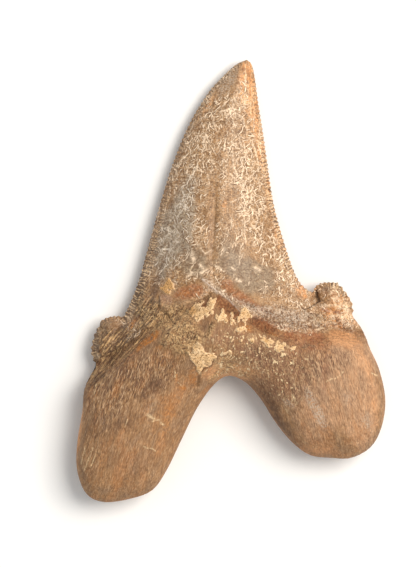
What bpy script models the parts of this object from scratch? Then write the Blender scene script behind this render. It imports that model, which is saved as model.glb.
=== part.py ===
"""A fossil tooth of a large extinct mackerel shark, one solid, lying on its flat outer face.

Run it with: blender --background --python part.py

The crown is a serrated blade with a serrated cusplet on each side, on a root with two lobes. The inner
face, with the swollen root boss under the dental band, is up. +Y runs to the crown's tip and +X to the
side that the tip leans to. The origin is under the middle of the outline, on the surface it rests on.
"""

import bmesh
import bpy
import numpy as np
from mathutils import Vector, noise
from mathutils.geometry import delaunay_2d_cdt

MM = 0.001  # every length below is in millimetres, and build_tooth turns them to metres

# Driving dimensions, for a tooth of 79.6 mm from the crown's tip to the end of the longer root lobe
BOSS_HEIGHT = 16.8  # thickest point, the boss in the middle of the root
LOBE_THICKNESS = 12.2  # root lobe where it leaves the boss
LOBE_THINNING = 0.10  # thickness lost for each millimetre down the lobe
BLADE_FULLNESS = 0.275  # rise of the blade's inner face over its edges, as a share of its width
BLADE_BELLY = 0.115  # the same for its outer face
EDGE_AT_TIP = 2.1  # height of the cutting edges over the resting surface
EDGE_AT_HEEL = 3.2
ROOT_EQUATOR = 5.2  # height at which the root's sides stand upright

# Serrations
BLADE_PITCH, BLADE_CUT = 0.82, 0.18
CUSPLET_PITCH, CUSPLET_CUT = 1.22, 0.30
PLAIN_TIP = 9.0  # they deepen from nothing over this far from the crown's tip

# The dental band, the smooth neck between enamel and root
NECK_DEPTH, NECK_WIDTH = 0.75, 1.3
ENAMEL_STEP = 0.3  # the enamel stands this far over the neck
ROOT_RISE = 5.4  # the root swells to its full height over this far below the enamel

# Swellings and hollows, as (centre, reach along X and Y)
BOSS = (-0.6, -10.8), (12.5, 7.5)
LEFT_CUSPLET = (-21.2, -11.0), (4.6, 5.6)
RIGHT_CUSPLET = (18.6, -5.4), (4.2, 5.4)
BLADE_FURROW = (-3.1, 9.0), (0.8, 9.0)
NUTRIENT_GROOVE = (-0.8, -15.0), (1.4, 2.6)
NECK_PITS = [((-0.7, -4.7), (2.3, 1.2)), ((5.8, -8.4), (2.2, 1.3))]
ARCH_UNDER_ROOT = (-0.3, -15.5), (6.5, 6.0)
WORN_LEVEL = 0.45  # the root's outer face would reach this far under the resting surface
WORN_EDGE = 0.18  # roundness of the rim of what is worn level

# The outline, from the tip round by the right. A stretch starts where the one before it ends.
TIP = (2.9, 39.8)
RIGHT_NOTCH = (14.7, -2.2)
RIGHT_APEX = (19.3, -0.3)
RIGHT_HEEL = (22.1, -6.6)
LEFT_HEEL = (-24.3, -15.5)
LEFT_APEX = (-23.2, -7.1)
LEFT_NOTCH = (-19.3, -6.5)

RIGHT_EDGE = [
    TIP, (3.8, 39.0), (4.4, 36.6), (5.0, 32.4), (5.8, 27.4), (6.7, 21.2), (7.8, 14.0),
    (9.5, 7.6), (11.3, 2.2), (12.7, -0.5), RIGHT_NOTCH,
]
RIGHT_CUSPLET_TOP = [RIGHT_NOTCH, (15.3, -1.0), (16.7, -0.3), RIGHT_APEX]
RIGHT_CUSPLET_SIDE = [RIGHT_APEX, (20.5, -1.6), (21.8, -3.7), (22.2, -5.4), RIGHT_HEEL]
ROOT_OUTLINE = [
    RIGHT_HEEL, (23.8, -9.0), (25.0, -12.2), (26.7, -16.0), (27.8, -21.2), (27.2, -26.1),
    (25.3, -29.8), (21.9, -31.8), (18.6, -31.9), (14.2, -31.3), (10.8, -28.8), (7.9, -25.2),
    (5.3, -21.1), (2.6, -18.2), (-0.3, -17.1), (-2.9, -18.6), (-6.0, -22.9), (-8.9, -28.8),
    (-11.6, -34.3), (-14.1, -37.7), (-18.0, -39.2), (-22.8, -39.8), (-26.0, -38.2),
    (-27.6, -33.8), (-27.5, -28.8), (-26.6, -23.4), (-26.2, -19.3), LEFT_HEEL,
]
LEFT_CUSPLET_SIDE = [LEFT_HEEL, (-25.2, -13.0), (-25.0, -11.2), (-24.4, -9.2), LEFT_APEX]
LEFT_CUSPLET_TOP = [LEFT_APEX, (-22.2, -6.6), (-20.5, -6.3), LEFT_NOTCH]
LEFT_EDGE = [
    LEFT_NOTCH, (-17.7, -3.0), (-16.3, 0.9), (-14.4, 7.9), (-12.4, 15.0), (-10.3, 21.5),
    (-7.6, 28.0), (-4.4, 33.4), (-2.3, 35.9), (0.8, 38.8), TIP,
]

# How close the mesh's points lie
ROOT_STEP = 1.1
GRID, GRID_UNDER = 1.25, 1.6
CLOSEST = 0.3
# Rings of points inside the outline, as (depth, every how many of the outline's samples)
EDGE_RINGS, EDGE_RINGS_UNDER = [(0.45, 1), (1.2, 2)], [(0.5, 2), (1.4, 4)]
ROOT_RINGS = [(0.15, 1), (0.6, 1), (1.4, 1), (2.7, 1), (4.3, 1)]
ROOT_RINGS_UNDER = [(0.15, 1), (0.7, 1), (1.8, 1), (3.4, 2)]
MARGIN_LINES = [-0.1, 0.6, 1.4]  # lines of points this far rootward of an enamel margin

# Where the enamel ends: a chevron on the inner face, a shallow arch on the outer one
INNER_MARGIN = [
    (-26.0, -15.0), (-21.3, -12.8), (-17.6, -10.4), (-14.5, -8.0), (-11.8, -5.9), (-8.7, -4.8),
    (-5.5, -3.1), (-3.2, -1.1), (-0.5, -2.8), (1.8, -5.0), (5.7, -7.5), (9.8, -9.1),
    (14.3, -9.8), (18.0, -8.9), (24.0, -8.5),
]
OUTER_MARGIN = [(-27.0, -15.5), (-18.0, -14.6), (-9.0, -12.6), (0.0, -11.4), (9.0, -11.9), (24.0, -8.5)]

# The blade's edges carried on under the cusplets, where its face sinks into them
LEFT_BURIED_EDGE = [LEFT_NOTCH, (-22.5, -11.0), (-25.0, -17.0)]
RIGHT_BURIED_EDGE = [RIGHT_NOTCH, (18.6, -5.4), (23.0, -12.0)]


def curve(points, step):
    """A smooth curve through the points, as samples step apart that include both ends."""
    p = np.array(points, float)
    p = np.vstack([2 * p[0] - p[1], p, 2 * p[-1] - p[-2]])
    u = np.linspace(0, 1, 25)[:-1, None]
    pieces = [
        0.5 * (2 * b + (c - a) * u + (2 * a - 5 * b + 4 * c - d) * u**2 + (3 * b - a - 3 * c + d) * u**3)
        for a, b, c, d in zip(p, p[1:], p[2:], p[3:])
    ]
    fine = np.vstack([*pieces, p[-2]])
    travelled = np.concatenate([[0], np.cumsum(np.linalg.norm(np.diff(fine, axis=0), axis=1))])
    count = max(2, round(travelled[-1] / step))
    at = np.linspace(0, travelled[-1], count + 1)
    return np.column_stack([np.interp(at, travelled, fine[:, i]) for i in (0, 1)])


def inward(line):
    """Unit normals of samples that run clockwise, pointing into the tooth."""
    run = np.gradient(line, axis=0)
    normal = np.column_stack([run[:, 1], -run[:, 0]])
    return normal / np.linalg.norm(normal, axis=1)[:, None]


def serrated(points, pitch, cut):
    """Samples half a serration apart, every second one cut back, with the ends left in place."""
    line = curve(points, pitch / 2)
    depth = np.where(np.arange(len(line)) % 2, cut, 0.0)
    depth *= np.clip(np.linalg.norm(line - TIP, axis=1) / PLAIN_TIP, 0, 1)
    depth[[0, -1]] = 0
    return line + inward(line) * depth[:, None]


def distance(points, line):
    """Distance of each point from a line of samples."""
    a, b = line[:-1], line[1:]
    run = b - a
    offset = points[:, None] - a
    share = np.clip((offset * run).sum(2) / (run * run).sum(1), 0, 1)
    return np.linalg.norm(offset - share[..., None] * run, axis=2).min(1)


def inside(points, ring):
    """Which points lie within the closed ring."""
    x, y = points[:, :1], points[:, 1:]
    a, b = ring, np.roll(ring, -1, axis=0)
    spans = (a[:, 1] > y) != (b[:, 1] > y)
    rise = np.where(b[:, 1] == a[:, 1], 1, b[:, 1] - a[:, 1])
    crossing = a[:, 0] + (y - a[:, 1]) * (b[:, 0] - a[:, 0]) / rise
    return (spans & (x < crossing)).sum(1) % 2 == 1


def ease(value):
    """0 below 0, 1 above 1, and a smooth rise between."""
    value = np.clip(value, 0, 1)
    return value * value * (3 - 2 * value)


def dome(share):
    """A quarter circle: 0 and upright at the outline, 1 and level from share 1 on."""
    return np.sqrt(1 - (1 - np.clip(share, 0, 1)) ** 2)


def smooth_max(a, b, width):
    """The larger of two heights, rounded where they cross."""
    share = np.clip(0.5 + 0.5 * (a - b) / width, 0, 1)
    return b + (a - b) * share + width * share * (1 - share)


def hill(points, centre, reach):
    """A bump of height 1 at centre that fades over reach, given along X and Y."""
    return np.exp(-(((points - centre) / reach) ** 2).sum(1))


def below(points, margin):
    """How far rootward of an enamel margin each point lies, negative on the crown."""
    line = curve(margin, 0.5)
    side = np.sign(np.interp(points[:, 0], line[:, 0], line[:, 1]) - points[:, 1])
    return side * distance(points, line)


def lumps(points, size, layer):
    """Even, seeded unevenness between about -1 and 1, with lumps of the given size."""
    return np.array([noise.noise(Vector((x / size, y / size, layer))) for x, y in points])


def edge_x(points, edge, buried):
    """The X of a cutting edge at each point's Y."""
    line = np.vstack([curve(edge, 0.5), curve(buried, 0.5)])
    line = line[np.argsort(line[:, 1])]
    return np.interp(points[:, 1], line[:, 1], line[:, 0])


def blade_shape(points):
    """The blade's width at each point, and its arch: 1 along its middle and 0 at the edges."""
    left = edge_x(points, LEFT_EDGE, LEFT_BURIED_EDGE)
    right = edge_x(points, RIGHT_EDGE, RIGHT_BURIED_EDGE)
    width = np.maximum(right - left, 0.05)
    across = np.clip(np.abs(2 * points[:, 0] - left - right) / width, 0, 1)
    roundness = 1.45 + 0.55 * ease((TIP[1] - points[:, 1]) / 16)  # two flat facets at the tip
    return width, (1 - across**roundness) ** 0.88


def edge_height(points):
    """Height of the outline, from the thin blade to the root's equator."""
    share = (TIP[1] - points[:, 1]) / (TIP[1] - LEFT_NOTCH[1])
    blade = EDGE_AT_TIP + (EDGE_AT_HEEL - EDGE_AT_TIP) * np.clip(share, 0, 1)
    root = ease((below(points, INNER_MARGIN) + 1.0) / 6.0)
    return blade + (ROOT_EQUATOR - blade) * root


def cusplet_shape(points, rim):
    """1 on the crest of either cusplet and 0 at its rim and away from it."""
    near = hill(points, *LEFT_CUSPLET) + hill(points, *RIGHT_CUSPLET)
    crest = 1 - (1 - np.clip(rim / 2.8, 0, 1)) ** 2
    return crest * np.clip(1.5 * near, 0, 1)


def inner_face(points, rim):
    """Height of the upward face, rim millimetres in from the outline."""
    edge = edge_height(points)
    width, arch = blade_shape(points)
    crown = smooth_max(
        edge + BLADE_FULLNESS * width * arch,
        edge + 2.3 * cusplet_shape(points, rim),
        0.5,
    )
    crown -= 0.22 * hill(points, *BLADE_FURROW)

    down_lobe = np.clip(-14 - points[:, 1], 0, None)
    thickness = LOBE_THICKNESS - LOBE_THINNING * down_lobe
    boss = (BOSS_HEIGHT - LOBE_THICKNESS) * hill(points, *BOSS)
    root = edge + (thickness + boss - edge) * dome(rim / 7.6)
    root -= 0.5 * hill(points, *NUTRIENT_GROOVE)
    root += 0.30 * lumps(points, 5.0, 3.0) * dome(rim / 2.5)

    rootward = below(points, INNER_MARGIN)
    face = crown + (root - crown) * ease((rootward - 0.2) / ROOT_RISE)
    neck = NECK_DEPTH * np.exp(-(((rootward - 1.1) / NECK_WIDTH) ** 2))
    step = ENAMEL_STEP * ease(rootward / 0.7) * (1 - ease(rootward / 3.5))
    pits = sum(hill(points, *pit) for pit in NECK_PITS)
    return face - (neck + step + 0.35 * pits) * ease(rim / 3.0)


def outer_face(points, rim):
    """Height of the downward face. Where it would sink under the surface it is worn level."""
    edge = edge_height(points)
    width, arch = blade_shape(points)
    crown = edge - BLADE_BELLY * width * arch
    crown = -smooth_max(-crown, -(edge - 1.8 * cusplet_shape(points, rim)), 0.3)
    root = edge - (edge + WORN_LEVEL) * dome(rim / 6.5)
    root += 2.4 * hill(points, *ARCH_UNDER_ROOT) * ease(rim / 4.0)
    root += 0.2 * lumps(points, 6.0, 9.0) * ease(rim / 3.0)
    rootward = below(points, OUTER_MARGIN)
    face = crown + (root - crown) * ease((rootward + 0.5) / 4.0)
    face += 0.5 * np.exp(-(((rootward - 1.2) / 1.3) ** 2)) * ease(rim / 2.0)  # step under the enamel
    eased = (np.clip(face, -WORN_EDGE, WORN_EDGE) + WORN_EDGE) ** 2 / (4 * WORN_EDGE)
    return np.where(face > WORN_EDGE, face, eased)


def stretches():
    """The outline as (samples, is it a cutting edge), clockwise from the tip."""
    return [
        (serrated(RIGHT_EDGE, BLADE_PITCH, BLADE_CUT), True),
        (serrated(RIGHT_CUSPLET_TOP, BLADE_PITCH, BLADE_CUT), True),
        (serrated(RIGHT_CUSPLET_SIDE, CUSPLET_PITCH, CUSPLET_CUT), True),
        (curve(ROOT_OUTLINE, ROOT_STEP), False),
        (serrated(LEFT_CUSPLET_SIDE, CUSPLET_PITCH, CUSPLET_CUT), True),
        (serrated(LEFT_CUSPLET_TOP, BLADE_PITCH, BLADE_CUT), True),
        (serrated(LEFT_EDGE, BLADE_PITCH, BLADE_CUT), True),
    ]


def beside(margin):
    """Lines of points that follow an enamel margin, so that the step at its edge stays crisp."""
    line = curve(margin, 0.9)
    return [line + inward(line) * rootward for rootward in MARGIN_LINES]


def spread(outline, edge_rings, root_rings, margin, spacing):
    """Points over the inside of the outline: rings that follow it, then an even triangular grid."""
    ring = np.vstack([line[:-1] for line, _ in outline])
    closed = np.vstack([ring, ring[:1]])
    found = []
    for line, sharp in outline:
        for depth, every in edge_rings if sharp else root_rings:
            moved = (line + inward(line) * depth)[::every]
            moved = moved[inside(moved, ring)]
            found.append(moved[distance(moved, closed) > 0.75 * depth])
    for line in beside(margin):
        line = line[inside(line, ring)]
        found.append(line[distance(line, closed) > 1.0])
    found = thinned(np.vstack(found))
    low, high = ring.min(0), ring.max(0)
    rows = np.arange(low[1], high[1], spacing * 3**0.5 / 2)
    columns = np.arange(low[0], high[0], spacing)
    grid = np.array([(x + (i % 2) * spacing / 2, y) for i, y in enumerate(rows) for x in columns])
    grid = grid[inside(grid, ring)]
    grid = grid[distance(grid, closed) > edge_rings[-1][0]]
    gap = np.linalg.norm(grid[:, None] - found, axis=2).min(1)
    return np.vstack([found, grid[gap > 0.62 * spacing]])


def thinned(points):
    """The points without those that lie very close to an earlier one."""
    kept = points[:1]
    for point in points[1:]:
        if np.linalg.norm(kept - point, axis=1).min() > CLOSEST:
            kept = np.vstack([kept, point])
    return kept


def triangles(ring, within):
    """The outline's inside as triangles, numbered ring first and then the points within."""
    flat = [Vector(p) for p in np.vstack([ring, within])]
    loop = [(i, (i + 1) % len(ring)) for i in range(len(ring))]
    places, _, faces, origins, _, _ = delaunay_2d_cdt(flat, loop, [], 1, 1e-6)
    if len(places) != len(flat):
        raise ValueError("two points of the tooth's outline or inside coincide")
    number = [found[0] for found in origins]
    return [tuple(number[i] for i in face) for face in faces]


def clear_of_ears(ring, within):
    """Adds a point inside each triangle that would join three outline points, so no tip is flat."""
    while True:
        ears = [face for face in triangles(ring, within) if max(face) < len(ring)]
        if not ears:
            return within
        within = np.vstack([within, [ring[list(ear)].mean(0) for ear in ears]])


def build_tooth():
    """The tooth as one closed mesh: its two faces share the outline's points."""
    outline = stretches()
    ring = np.vstack([line[:-1] for line, _ in outline])
    closed = np.vstack([ring, ring[:1]])
    mesh = bmesh.new()
    rim = [mesh.verts.new((x * MM, y * MM, z * MM)) for (x, y), z in zip(ring, edge_height(ring))]
    surfaces = [
        (inner_face, False, EDGE_RINGS, ROOT_RINGS, INNER_MARGIN, GRID),
        (outer_face, True, EDGE_RINGS_UNDER, ROOT_RINGS_UNDER, OUTER_MARGIN, GRID_UNDER),
    ]
    for height, turned, edge_rings, root_rings, margin, spacing in surfaces:
        within = spread(outline, edge_rings, root_rings, margin, spacing)
        if not turned:
            within = clear_of_ears(ring, within)
        z = height(within, distance(within, closed))
        corners = rim + [mesh.verts.new((x * MM, y * MM, h * MM)) for (x, y), h in zip(within, z)]
        for face in triangles(ring, within):
            order = reversed(face) if turned else face
            mesh.faces.new([corners[i] for i in order])
    data = bpy.data.meshes.new("tooth")
    mesh.to_mesh(data)
    mesh.free()
    data.shade_smooth()
    tooth = bpy.data.objects.new("tooth", data)
    bpy.context.scene.collection.objects.link(tooth)
    return tooth


def fossil_material():
    """Fossil enamel and bone, stained warm brown, with a dull polish."""
    material = bpy.data.materials.new("fossil_tooth")
    material.use_nodes = True
    shader = material.node_tree.nodes["Principled BSDF"]
    shader.inputs["Base Color"].default_value = (0.33, 0.20, 0.11, 1)
    shader.inputs["Roughness"].default_value = 0.5
    shader.inputs["Metallic"].default_value = 0
    return material


for leftover in list(bpy.data.objects):
    bpy.data.objects.remove(leftover)
tooth = build_tooth()
tooth.data.materials.append(fossil_material())
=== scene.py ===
import math

import bmesh
import bpy
import numpy as np
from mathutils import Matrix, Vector, noise
from mathutils.kdtree import KDTree


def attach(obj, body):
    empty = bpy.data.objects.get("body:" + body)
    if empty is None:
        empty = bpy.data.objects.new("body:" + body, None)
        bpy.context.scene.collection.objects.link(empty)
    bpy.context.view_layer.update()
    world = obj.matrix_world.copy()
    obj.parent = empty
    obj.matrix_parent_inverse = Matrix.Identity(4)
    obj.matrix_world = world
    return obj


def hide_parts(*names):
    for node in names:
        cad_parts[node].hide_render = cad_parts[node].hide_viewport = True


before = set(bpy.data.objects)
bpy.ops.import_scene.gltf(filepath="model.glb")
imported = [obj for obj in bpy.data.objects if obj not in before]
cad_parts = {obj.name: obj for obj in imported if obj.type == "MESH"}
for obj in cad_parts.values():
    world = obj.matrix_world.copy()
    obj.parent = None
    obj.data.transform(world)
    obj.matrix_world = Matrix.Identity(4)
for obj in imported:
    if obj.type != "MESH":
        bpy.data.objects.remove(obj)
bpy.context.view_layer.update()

mm = 0.001
print("frame loaded")


def smooth(low, high, value):
    # 0 at low, 1 at high, eased between; low may be the larger one
    share = np.clip((np.asarray(value, float) - low) / (high - low), 0, 1)
    return share * share * (3 - 2 * share)


def grain(points, size, seed, stretch=(1, 1, 1)):
    # seeded lumps between about -1 and 1, each about size mm across
    scaled = points / (size * np.array(stretch)) + seed * 17.3
    return np.array([noise.noise(Vector(p)) for p in scaled])


def spot(points, x, y, across, along=None, turn=0.0):
    # a soft round or oval patch: 1 in its middle, about a third at its edge
    dx, dy = points[:, 0] - x, points[:, 1] - y
    a = math.radians(turn)
    u, v = dx * math.cos(a) + dy * math.sin(a), dy * math.cos(a) - dx * math.sin(a)
    return np.exp(-(u / across) ** 2 - (v / (along or across)) ** 2)


def lineDistance(points, line):
    # distance in mm, seen from above, to a line of points
    best = np.full(len(points), 1e9)
    for a, b in zip(line, line[1:]):
        a, run = np.array(a), np.array(b) - np.array(a)
        share = np.clip(((points[:, :2] - a) @ run) / (run @ run), 0, 1)
        best = np.minimum(best, np.linalg.norm(points[:, :2] - a - share[:, None] * run, axis=1))
    return best


def insideLoop(points, loop):
    x, y = points[:, 0], points[:, 1]
    hit = np.zeros(len(points), bool)
    for (ax, ay), (bx, by) in zip(loop, loop[1:] + loop[:1]):
        if ay != by:
            hit ^= ((ay > y) != (by > y)) & (x < ax + (y - ay) * (bx - ax) / (by - ay))
    return hit


def loopDepth(points, loop):
    # how far inside a closed outline, in mm; negative outside
    away = lineDistance(points, loop + loop[:1])
    return np.where(insideLoop(points, loop), away, -away)


# where things are on the tooth, in mm: +Y to the crown's tip, +Z out of the swollen inner face
places = {
    # where the enamel ends on the inner face, left to right
    "enamelEnd": [(-26.0, -15.0), (-21.3, -12.8), (-17.6, -10.4), (-14.5, -8.0), (-11.8, -5.9),
                  (-8.7, -4.8), (-5.5, -3.5), (-3.6, -2.4), (-2.2, -2.3), (-0.5, -3.3), (1.8, -5.2),
                  (5.7, -7.5), (9.8, -9.1), (14.3, -9.8), (18.0, -8.9), (24.0, -8.5)],
    # and on the outer one
    "enamelEndUnder": [(-27.0, -15.5), (-18.0, -14.6), (-9.0, -12.6), (0.0, -11.4), (9.0, -11.9),
                       (24.0, -8.5)],
    # the side cusplets, and the cutting edge where its ribs reach furthest in, as soft patches
    "cusplets": [(19.4, -4.0, 3.0, 3.6), (-22.8, -10.4, 2.8, 4.2)],
    "ribbed": (-15.4, 0.0, 3.6, 8.0, -18),
    # hairline cracks in the crown and the root, as (depth, points)
    "cracks": [
        (0.07, [(-2.6, 15.8), (-2.9, 11.0), (-3.0, 7.4), (-3.3, 4.8), (-3.2, 1.0), (-3.3, -2.0)]),
        (0.07, [(-5.8, 9.1), (-5.9, 1.0)]), (0.07, [(1.6, 14.0), (1.2, 9.5), (1.5, 4.0)]),
        (0.16, [(-12.8, -2.8), (-12.8, -5.3), (-11.4, -6.0), (-10.5, -7.2)]),
        (0.20, [(-2.6, -13.6), (-3.2, -14.3), (-3.7, -15.1), (-4.2, -15.5), (-4.9, -15.8), (-5.3, -16.4),
                (-5.6, -17.2), (-5.8, -18.8)]),
        (0.07, [(-9.4, -16.2), (-9.4, -19.0)]), (0.14, [(10.8, -7.6), (13.6, -8.3), (16.0, -8.5)]),
        (0.10, [(-16.6, -4.0), (-15.2, -5.6), (-13.2, -6.4), (-11.6, -6.0)]),
        (0.12, [(-21.6, -15.6), (-18.6, -11.8), (-15.8, -9.2), (-13.2, -7.8)]),
        (0.12, [(-24.4, -18.0), (-21.4, -14.0), (-18.0, -10.2), (-15.6, -8.0)]),
    ],
    # the enamel's thin raised lip over the recess in the neck
    "lip": [(-5.0, 0.2), (-4.0, -0.7), (-3.0, -1.5), (-1.7, -2.4), (-0.6, -3.2), (0.7, -4.5), (1.7, -5.5)],
    # the plate of enamel that has lifted beside the crown's base
    "plate": [(-12.7, -2.8), (-11.6, -2.5), (-10.3, -3.0), (-10.4, -4.2), (-10.9, -5.3), (-12.1, -5.4),
              (-12.6, -4.6)],
    # the ridge down from the tip, right of the worn facet
    "tipRidge": [(-0.2, 30.0), (0.3, 33.0), (0.8, 35.0), (1.3, 36.8), (1.9, 38.2), (2.9, 39.6)],
    # the fold where the blade's heel overlaps the right cusplet
    "heelFold": [(15.3, -1.9), (15.5, -2.8), (15.9, -3.6), (15.2, -4.2), (14.3, -4.7), (13.4, -5.1),
                 (12.8, -4.8)],
    # pale scratches and chips in the root, as (half width, points)
    "marks": [
        (0.26, [(-14.8, -24.0), (-14.1, -24.5), (-13.5, -24.7)]),
        (0.14, [(-13.9, -25.1), (-13.3, -24.9), (-12.8, -24.9)]), (0.18, [(-12.4, -25.4), (-12.1, -25.7)]),
        (0.09, [(-15.6, -29.6), (-14.7, -30.0), (-14.0, -30.0), (-13.4, -30.5)]),
        (0.12, [(16.9, -18.1), (17.8, -17.6), (18.6, -17.4), (19.5, -16.9), (20.2, -16.0)]),
        (0.13, [(25.2, -16.6), (26.2, -17.0)]), (0.18, [(11.0, -20.4), (11.4, -21.2)]),
        (0.14, [(9.8, -23.0), (10.1, -23.6)]), (0.12, [(6.6, -16.4), (6.8, -17.2)]),
        (0.12, [(4.6, -15.0), (4.7, -15.8)]), (0.14, [(-9.9, -16.2), (-9.9, -17.2)]),
        (0.10, [(-9.4, -18.2), (-8.6, -18.9)]), (0.10, [(-18.4, -24.8), (-18.8, -26.0)]),
        (0.10, [(-26.8, -32.9), (-25.8, -29.0)]), (0.10, [(-26.2, -34.1), (-24.7, -29.9)]),
        (0.10, [(-25.1, -33.4), (-23.9, -30.6)]), (0.11, [(-24.0, -18.4), (-24.4, -20.4)]),
    ],
    # the boldest scratches in the enamel, and its pale flakes
    "scratches": [
        (0.16, [(0.3, 23.1), (0.4, 21.9), (0.5, 20.5), (1.3, 18.7), (2.3, 17.9)]),
        (0.13, [(3.9, 25.1), (4.1, 24.1), (2.5, 22.5)]),
        (0.12, [(4.3, 23.9), (4.7, 22.3), (5.1, 20.7), (4.9, 19.5)]),
        (0.16, [(-2.0, 30.2), (-0.7, 30.7), (0.45, 31.0)]), (0.14, [(-0.9, 29.3), (0.5, 30.9)]),
        (0.12, [(0.6, 33.1), (0.8, 32.1)]), (0.12, [(-3.1, 29.5), (-3.0, 28.3), (-2.5, 26.7)]),
        (0.11, [(-4.3, 25.9), (-3.5, 24.1), (-2.7, 22.7)]),
        (0.11, [(-6.9, 27.7), (-6.3, 25.9), (-6.9, 24.5)]),
        (0.13, [(-7.3, 20.7), (-6.1, 19.9), (-4.5, 19.3)]), (0.12, [(1.3, 29.9), (2.3, 29.1), (2.5, 27.9)]),
        (0.11, [(0.3, 27.5), (1.3, 28.3)]), (0.12, [(-13.2, 10.0), (-10.5, 8.6)]),
        (0.15, [(3.7, 13.0), (5.2, 11.7)]), (0.14, [(-0.15, 19.2), (1.15, 17.9), (2.7, 16.1), (3.2, 15.7)]),
        (0.12, [(0.1, 14.0), (2.2, 15.1), (3.5, 15.9)]),
        (0.14, [(2.4, 12.5), (3.2, 11.7), (2.7, 10.7), (2.4, 9.3), (2.7, 6.75)]),
        (0.11, [(-4.2, 19.0), (-3.9, 17.9), (-3.8, 17.2)]),
        (0.14, [(-8.5, 15.9), (-8.1, 14.3), (-9.3, 13.0)]), (0.12, [(-7.8, 13.2), (-7.2, 12.0)]),
        (0.15, [(-11.8, 5.7), (-10.3, 5.2)]), (0.36, [(-6.9, 4.7), (-6.6, 3.5)]),
        (0.28, [(-7.7, 0.65), (-6.9, 1.3)]), (0.26, [(-2.6, 2.6), (-1.7, 2.0)]),
        (0.24, [(-5.6, 2.85), (-5.0, 2.2)]), (0.34, [(-5.35, 1.3), (-4.3, 1.7)]),
        (0.26, [(1.0, 0.25), (1.8, -0.15)]), (0.21, [(0.1, 2.3), (0.75, 1.9)]),
        (0.27, [(4.4, 2.3), (5.2, 1.8)]), (0.12, [(-5.35, 5.8), (-4.95, 5.2), (-4.6, 4.8), (-3.5, 5.45)]),
        (0.13, [(-1.05, 5.8), (-1.2, 5.2), (-1.85, 4.55)]),
        (0.13, [(2.2, 6.6), (1.7, 5.7), (1.6, 4.15), (1.55, 2.85)]),
    ],
    # cream crusts of sandstone, each a closed outline
    "crusts": [
        [(-3.3, -3.0), (-3.5, -3.5), (-3.2, -3.6), (-3.0, -3.3), (-2.6, -3.1), (-2.6, -3.7), (-2.8, -4.4),
         (-3.1, -4.9), (-3.0, -5.6), (-3.2, -6.1), (-3.6, -6.0), (-3.8, -6.4), (-4.3, -6.6), (-4.6, -6.4),
         (-4.8, -6.8), (-5.4, -7.0), (-6.0, -7.1), (-6.7, -6.8), (-7.2, -6.3), (-7.4, -5.6), (-7.0, -4.9),
         (-6.8, -4.4), (-6.3, -4.0), (-5.7, -4.2), (-5.3, -3.7), (-5.0, -3.5), (-4.6, -3.7), (-4.6, -3.9),
         (-5.1, -4.4), (-5.1, -4.8), (-4.6, -4.9), (-4.2, -4.7), (-4.2, -3.9), (-3.8, -3.5), (-3.6, -3.1)],
        [(-5.9, -10.9), (-5.3, -11.3), (-4.9, -12.0), (-4.6, -12.6), (-3.9, -12.9), (-3.3, -12.9),
         (-2.9, -13.1), (-2.6, -13.6), (-3.1, -14.2), (-3.5, -14.9), (-4.1, -15.3), (-4.7, -15.5),
         (-5.2, -16.1), (-5.6, -16.6), (-6.2, -15.6), (-6.4, -14.9), (-6.9, -14.4), (-7.2, -13.6),
         (-7.5, -12.8), (-6.9, -12.4), (-6.6, -11.7)],
        [(-1.4, -4.5), (-1.2, -5.1), (-1.0, -5.7), (-0.8, -6.2), (-0.9, -6.6), (-0.7, -7.0), (-0.5, -7.2),
         (-0.8, -7.5), (-1.1, -7.4), (-1.2, -7.0), (-1.7, -7.1), (-2.1, -6.9), (-2.2, -7.3), (-2.6, -7.1),
         (-2.8, -6.4), (-2.6, -6.0), (-2.3, -6.3), (-1.7, -5.8), (-1.6, -5.2)],
        [(0.1, -5.4), (0.4, -5.7), (0.5, -6.2), (0.3, -6.8), (0.8, -6.7), (0.7, -7.1), (1.0, -7.6),
         (0.8, -8.0), (0.4, -7.5), (0.2, -7.9), (-0.1, -7.7), (0.0, -7.3), (-0.1, -6.8), (0.2, -6.4),
         (0.0, -5.9)],
        [(2.0, -5.2), (2.4, -4.9), (2.8, -5.1), (3.4, -5.7), (3.8, -6.3), (3.9, -6.6), (3.6, -6.8),
         (3.2, -6.7), (2.8, -7.1), (2.4, -7.1), (2.7, -7.5), (2.8, -7.9), (2.6, -8.3), (2.8, -8.7),
         (2.7, -9.2), (2.2, -8.8), (1.5, -9.5), (1.1, -9.3), (0.8, -8.8), (1.0, -8.5), (1.9, -8.5),
         (2.3, -8.1), (2.4, -7.7), (2.2, -7.3), (1.9, -6.8), (1.6, -6.8), (1.5, -7.3), (1.2, -7.5),
         (1.1, -6.6), (1.5, -6.4), (1.7, -5.9)],
        [(0.6, -9.9), (0.8, -10.1), (0.5, -10.6), (0.1, -11.0), (-0.1, -10.8), (0.1, -10.4), (0.3, -10.0)],
        [(3.8, -10.1), (4.0, -10.5), (3.9, -11.0), (3.7, -11.2), (3.4, -11.0), (3.3, -10.5)],
        [(4.4, -9.9), (4.6, -10.4), (4.4, -10.8), (4.2, -10.3)],
        [(1.7, -10.4), (2.0, -10.6), (1.8, -10.9), (1.4, -10.7)],
        [(5.3, -9.9), (5.7, -10.2), (6.4, -10.4), (7.0, -10.2), (7.2, -10.6), (7.6, -11.0), (7.3, -11.4),
         (7.1, -12.0), (6.7, -12.0), (6.3, -11.7), (6.1, -11.2), (5.7, -11.0), (5.3, -10.7)],
        [(8.3, -10.7), (8.6, -11.0), (8.5, -11.4), (8.8, -11.7), (9.0, -11.2), (9.3, -11.0), (9.7, -11.2),
         (9.6, -11.6), (9.2, -11.5), (9.1, -11.9), (9.3, -12.4), (8.9, -12.5), (8.5, -12.9), (8.1, -12.6),
         (7.6, -12.5), (7.5, -12.0), (7.9, -11.7), (8.0, -11.0)],
        [(10.0, -12.1), (10.3, -12.0), (10.7, -11.7), (11.0, -11.9), (11.7, -11.6), (11.1, -12.5),
         (10.7, -12.6), (10.5, -12.2)],
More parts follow.
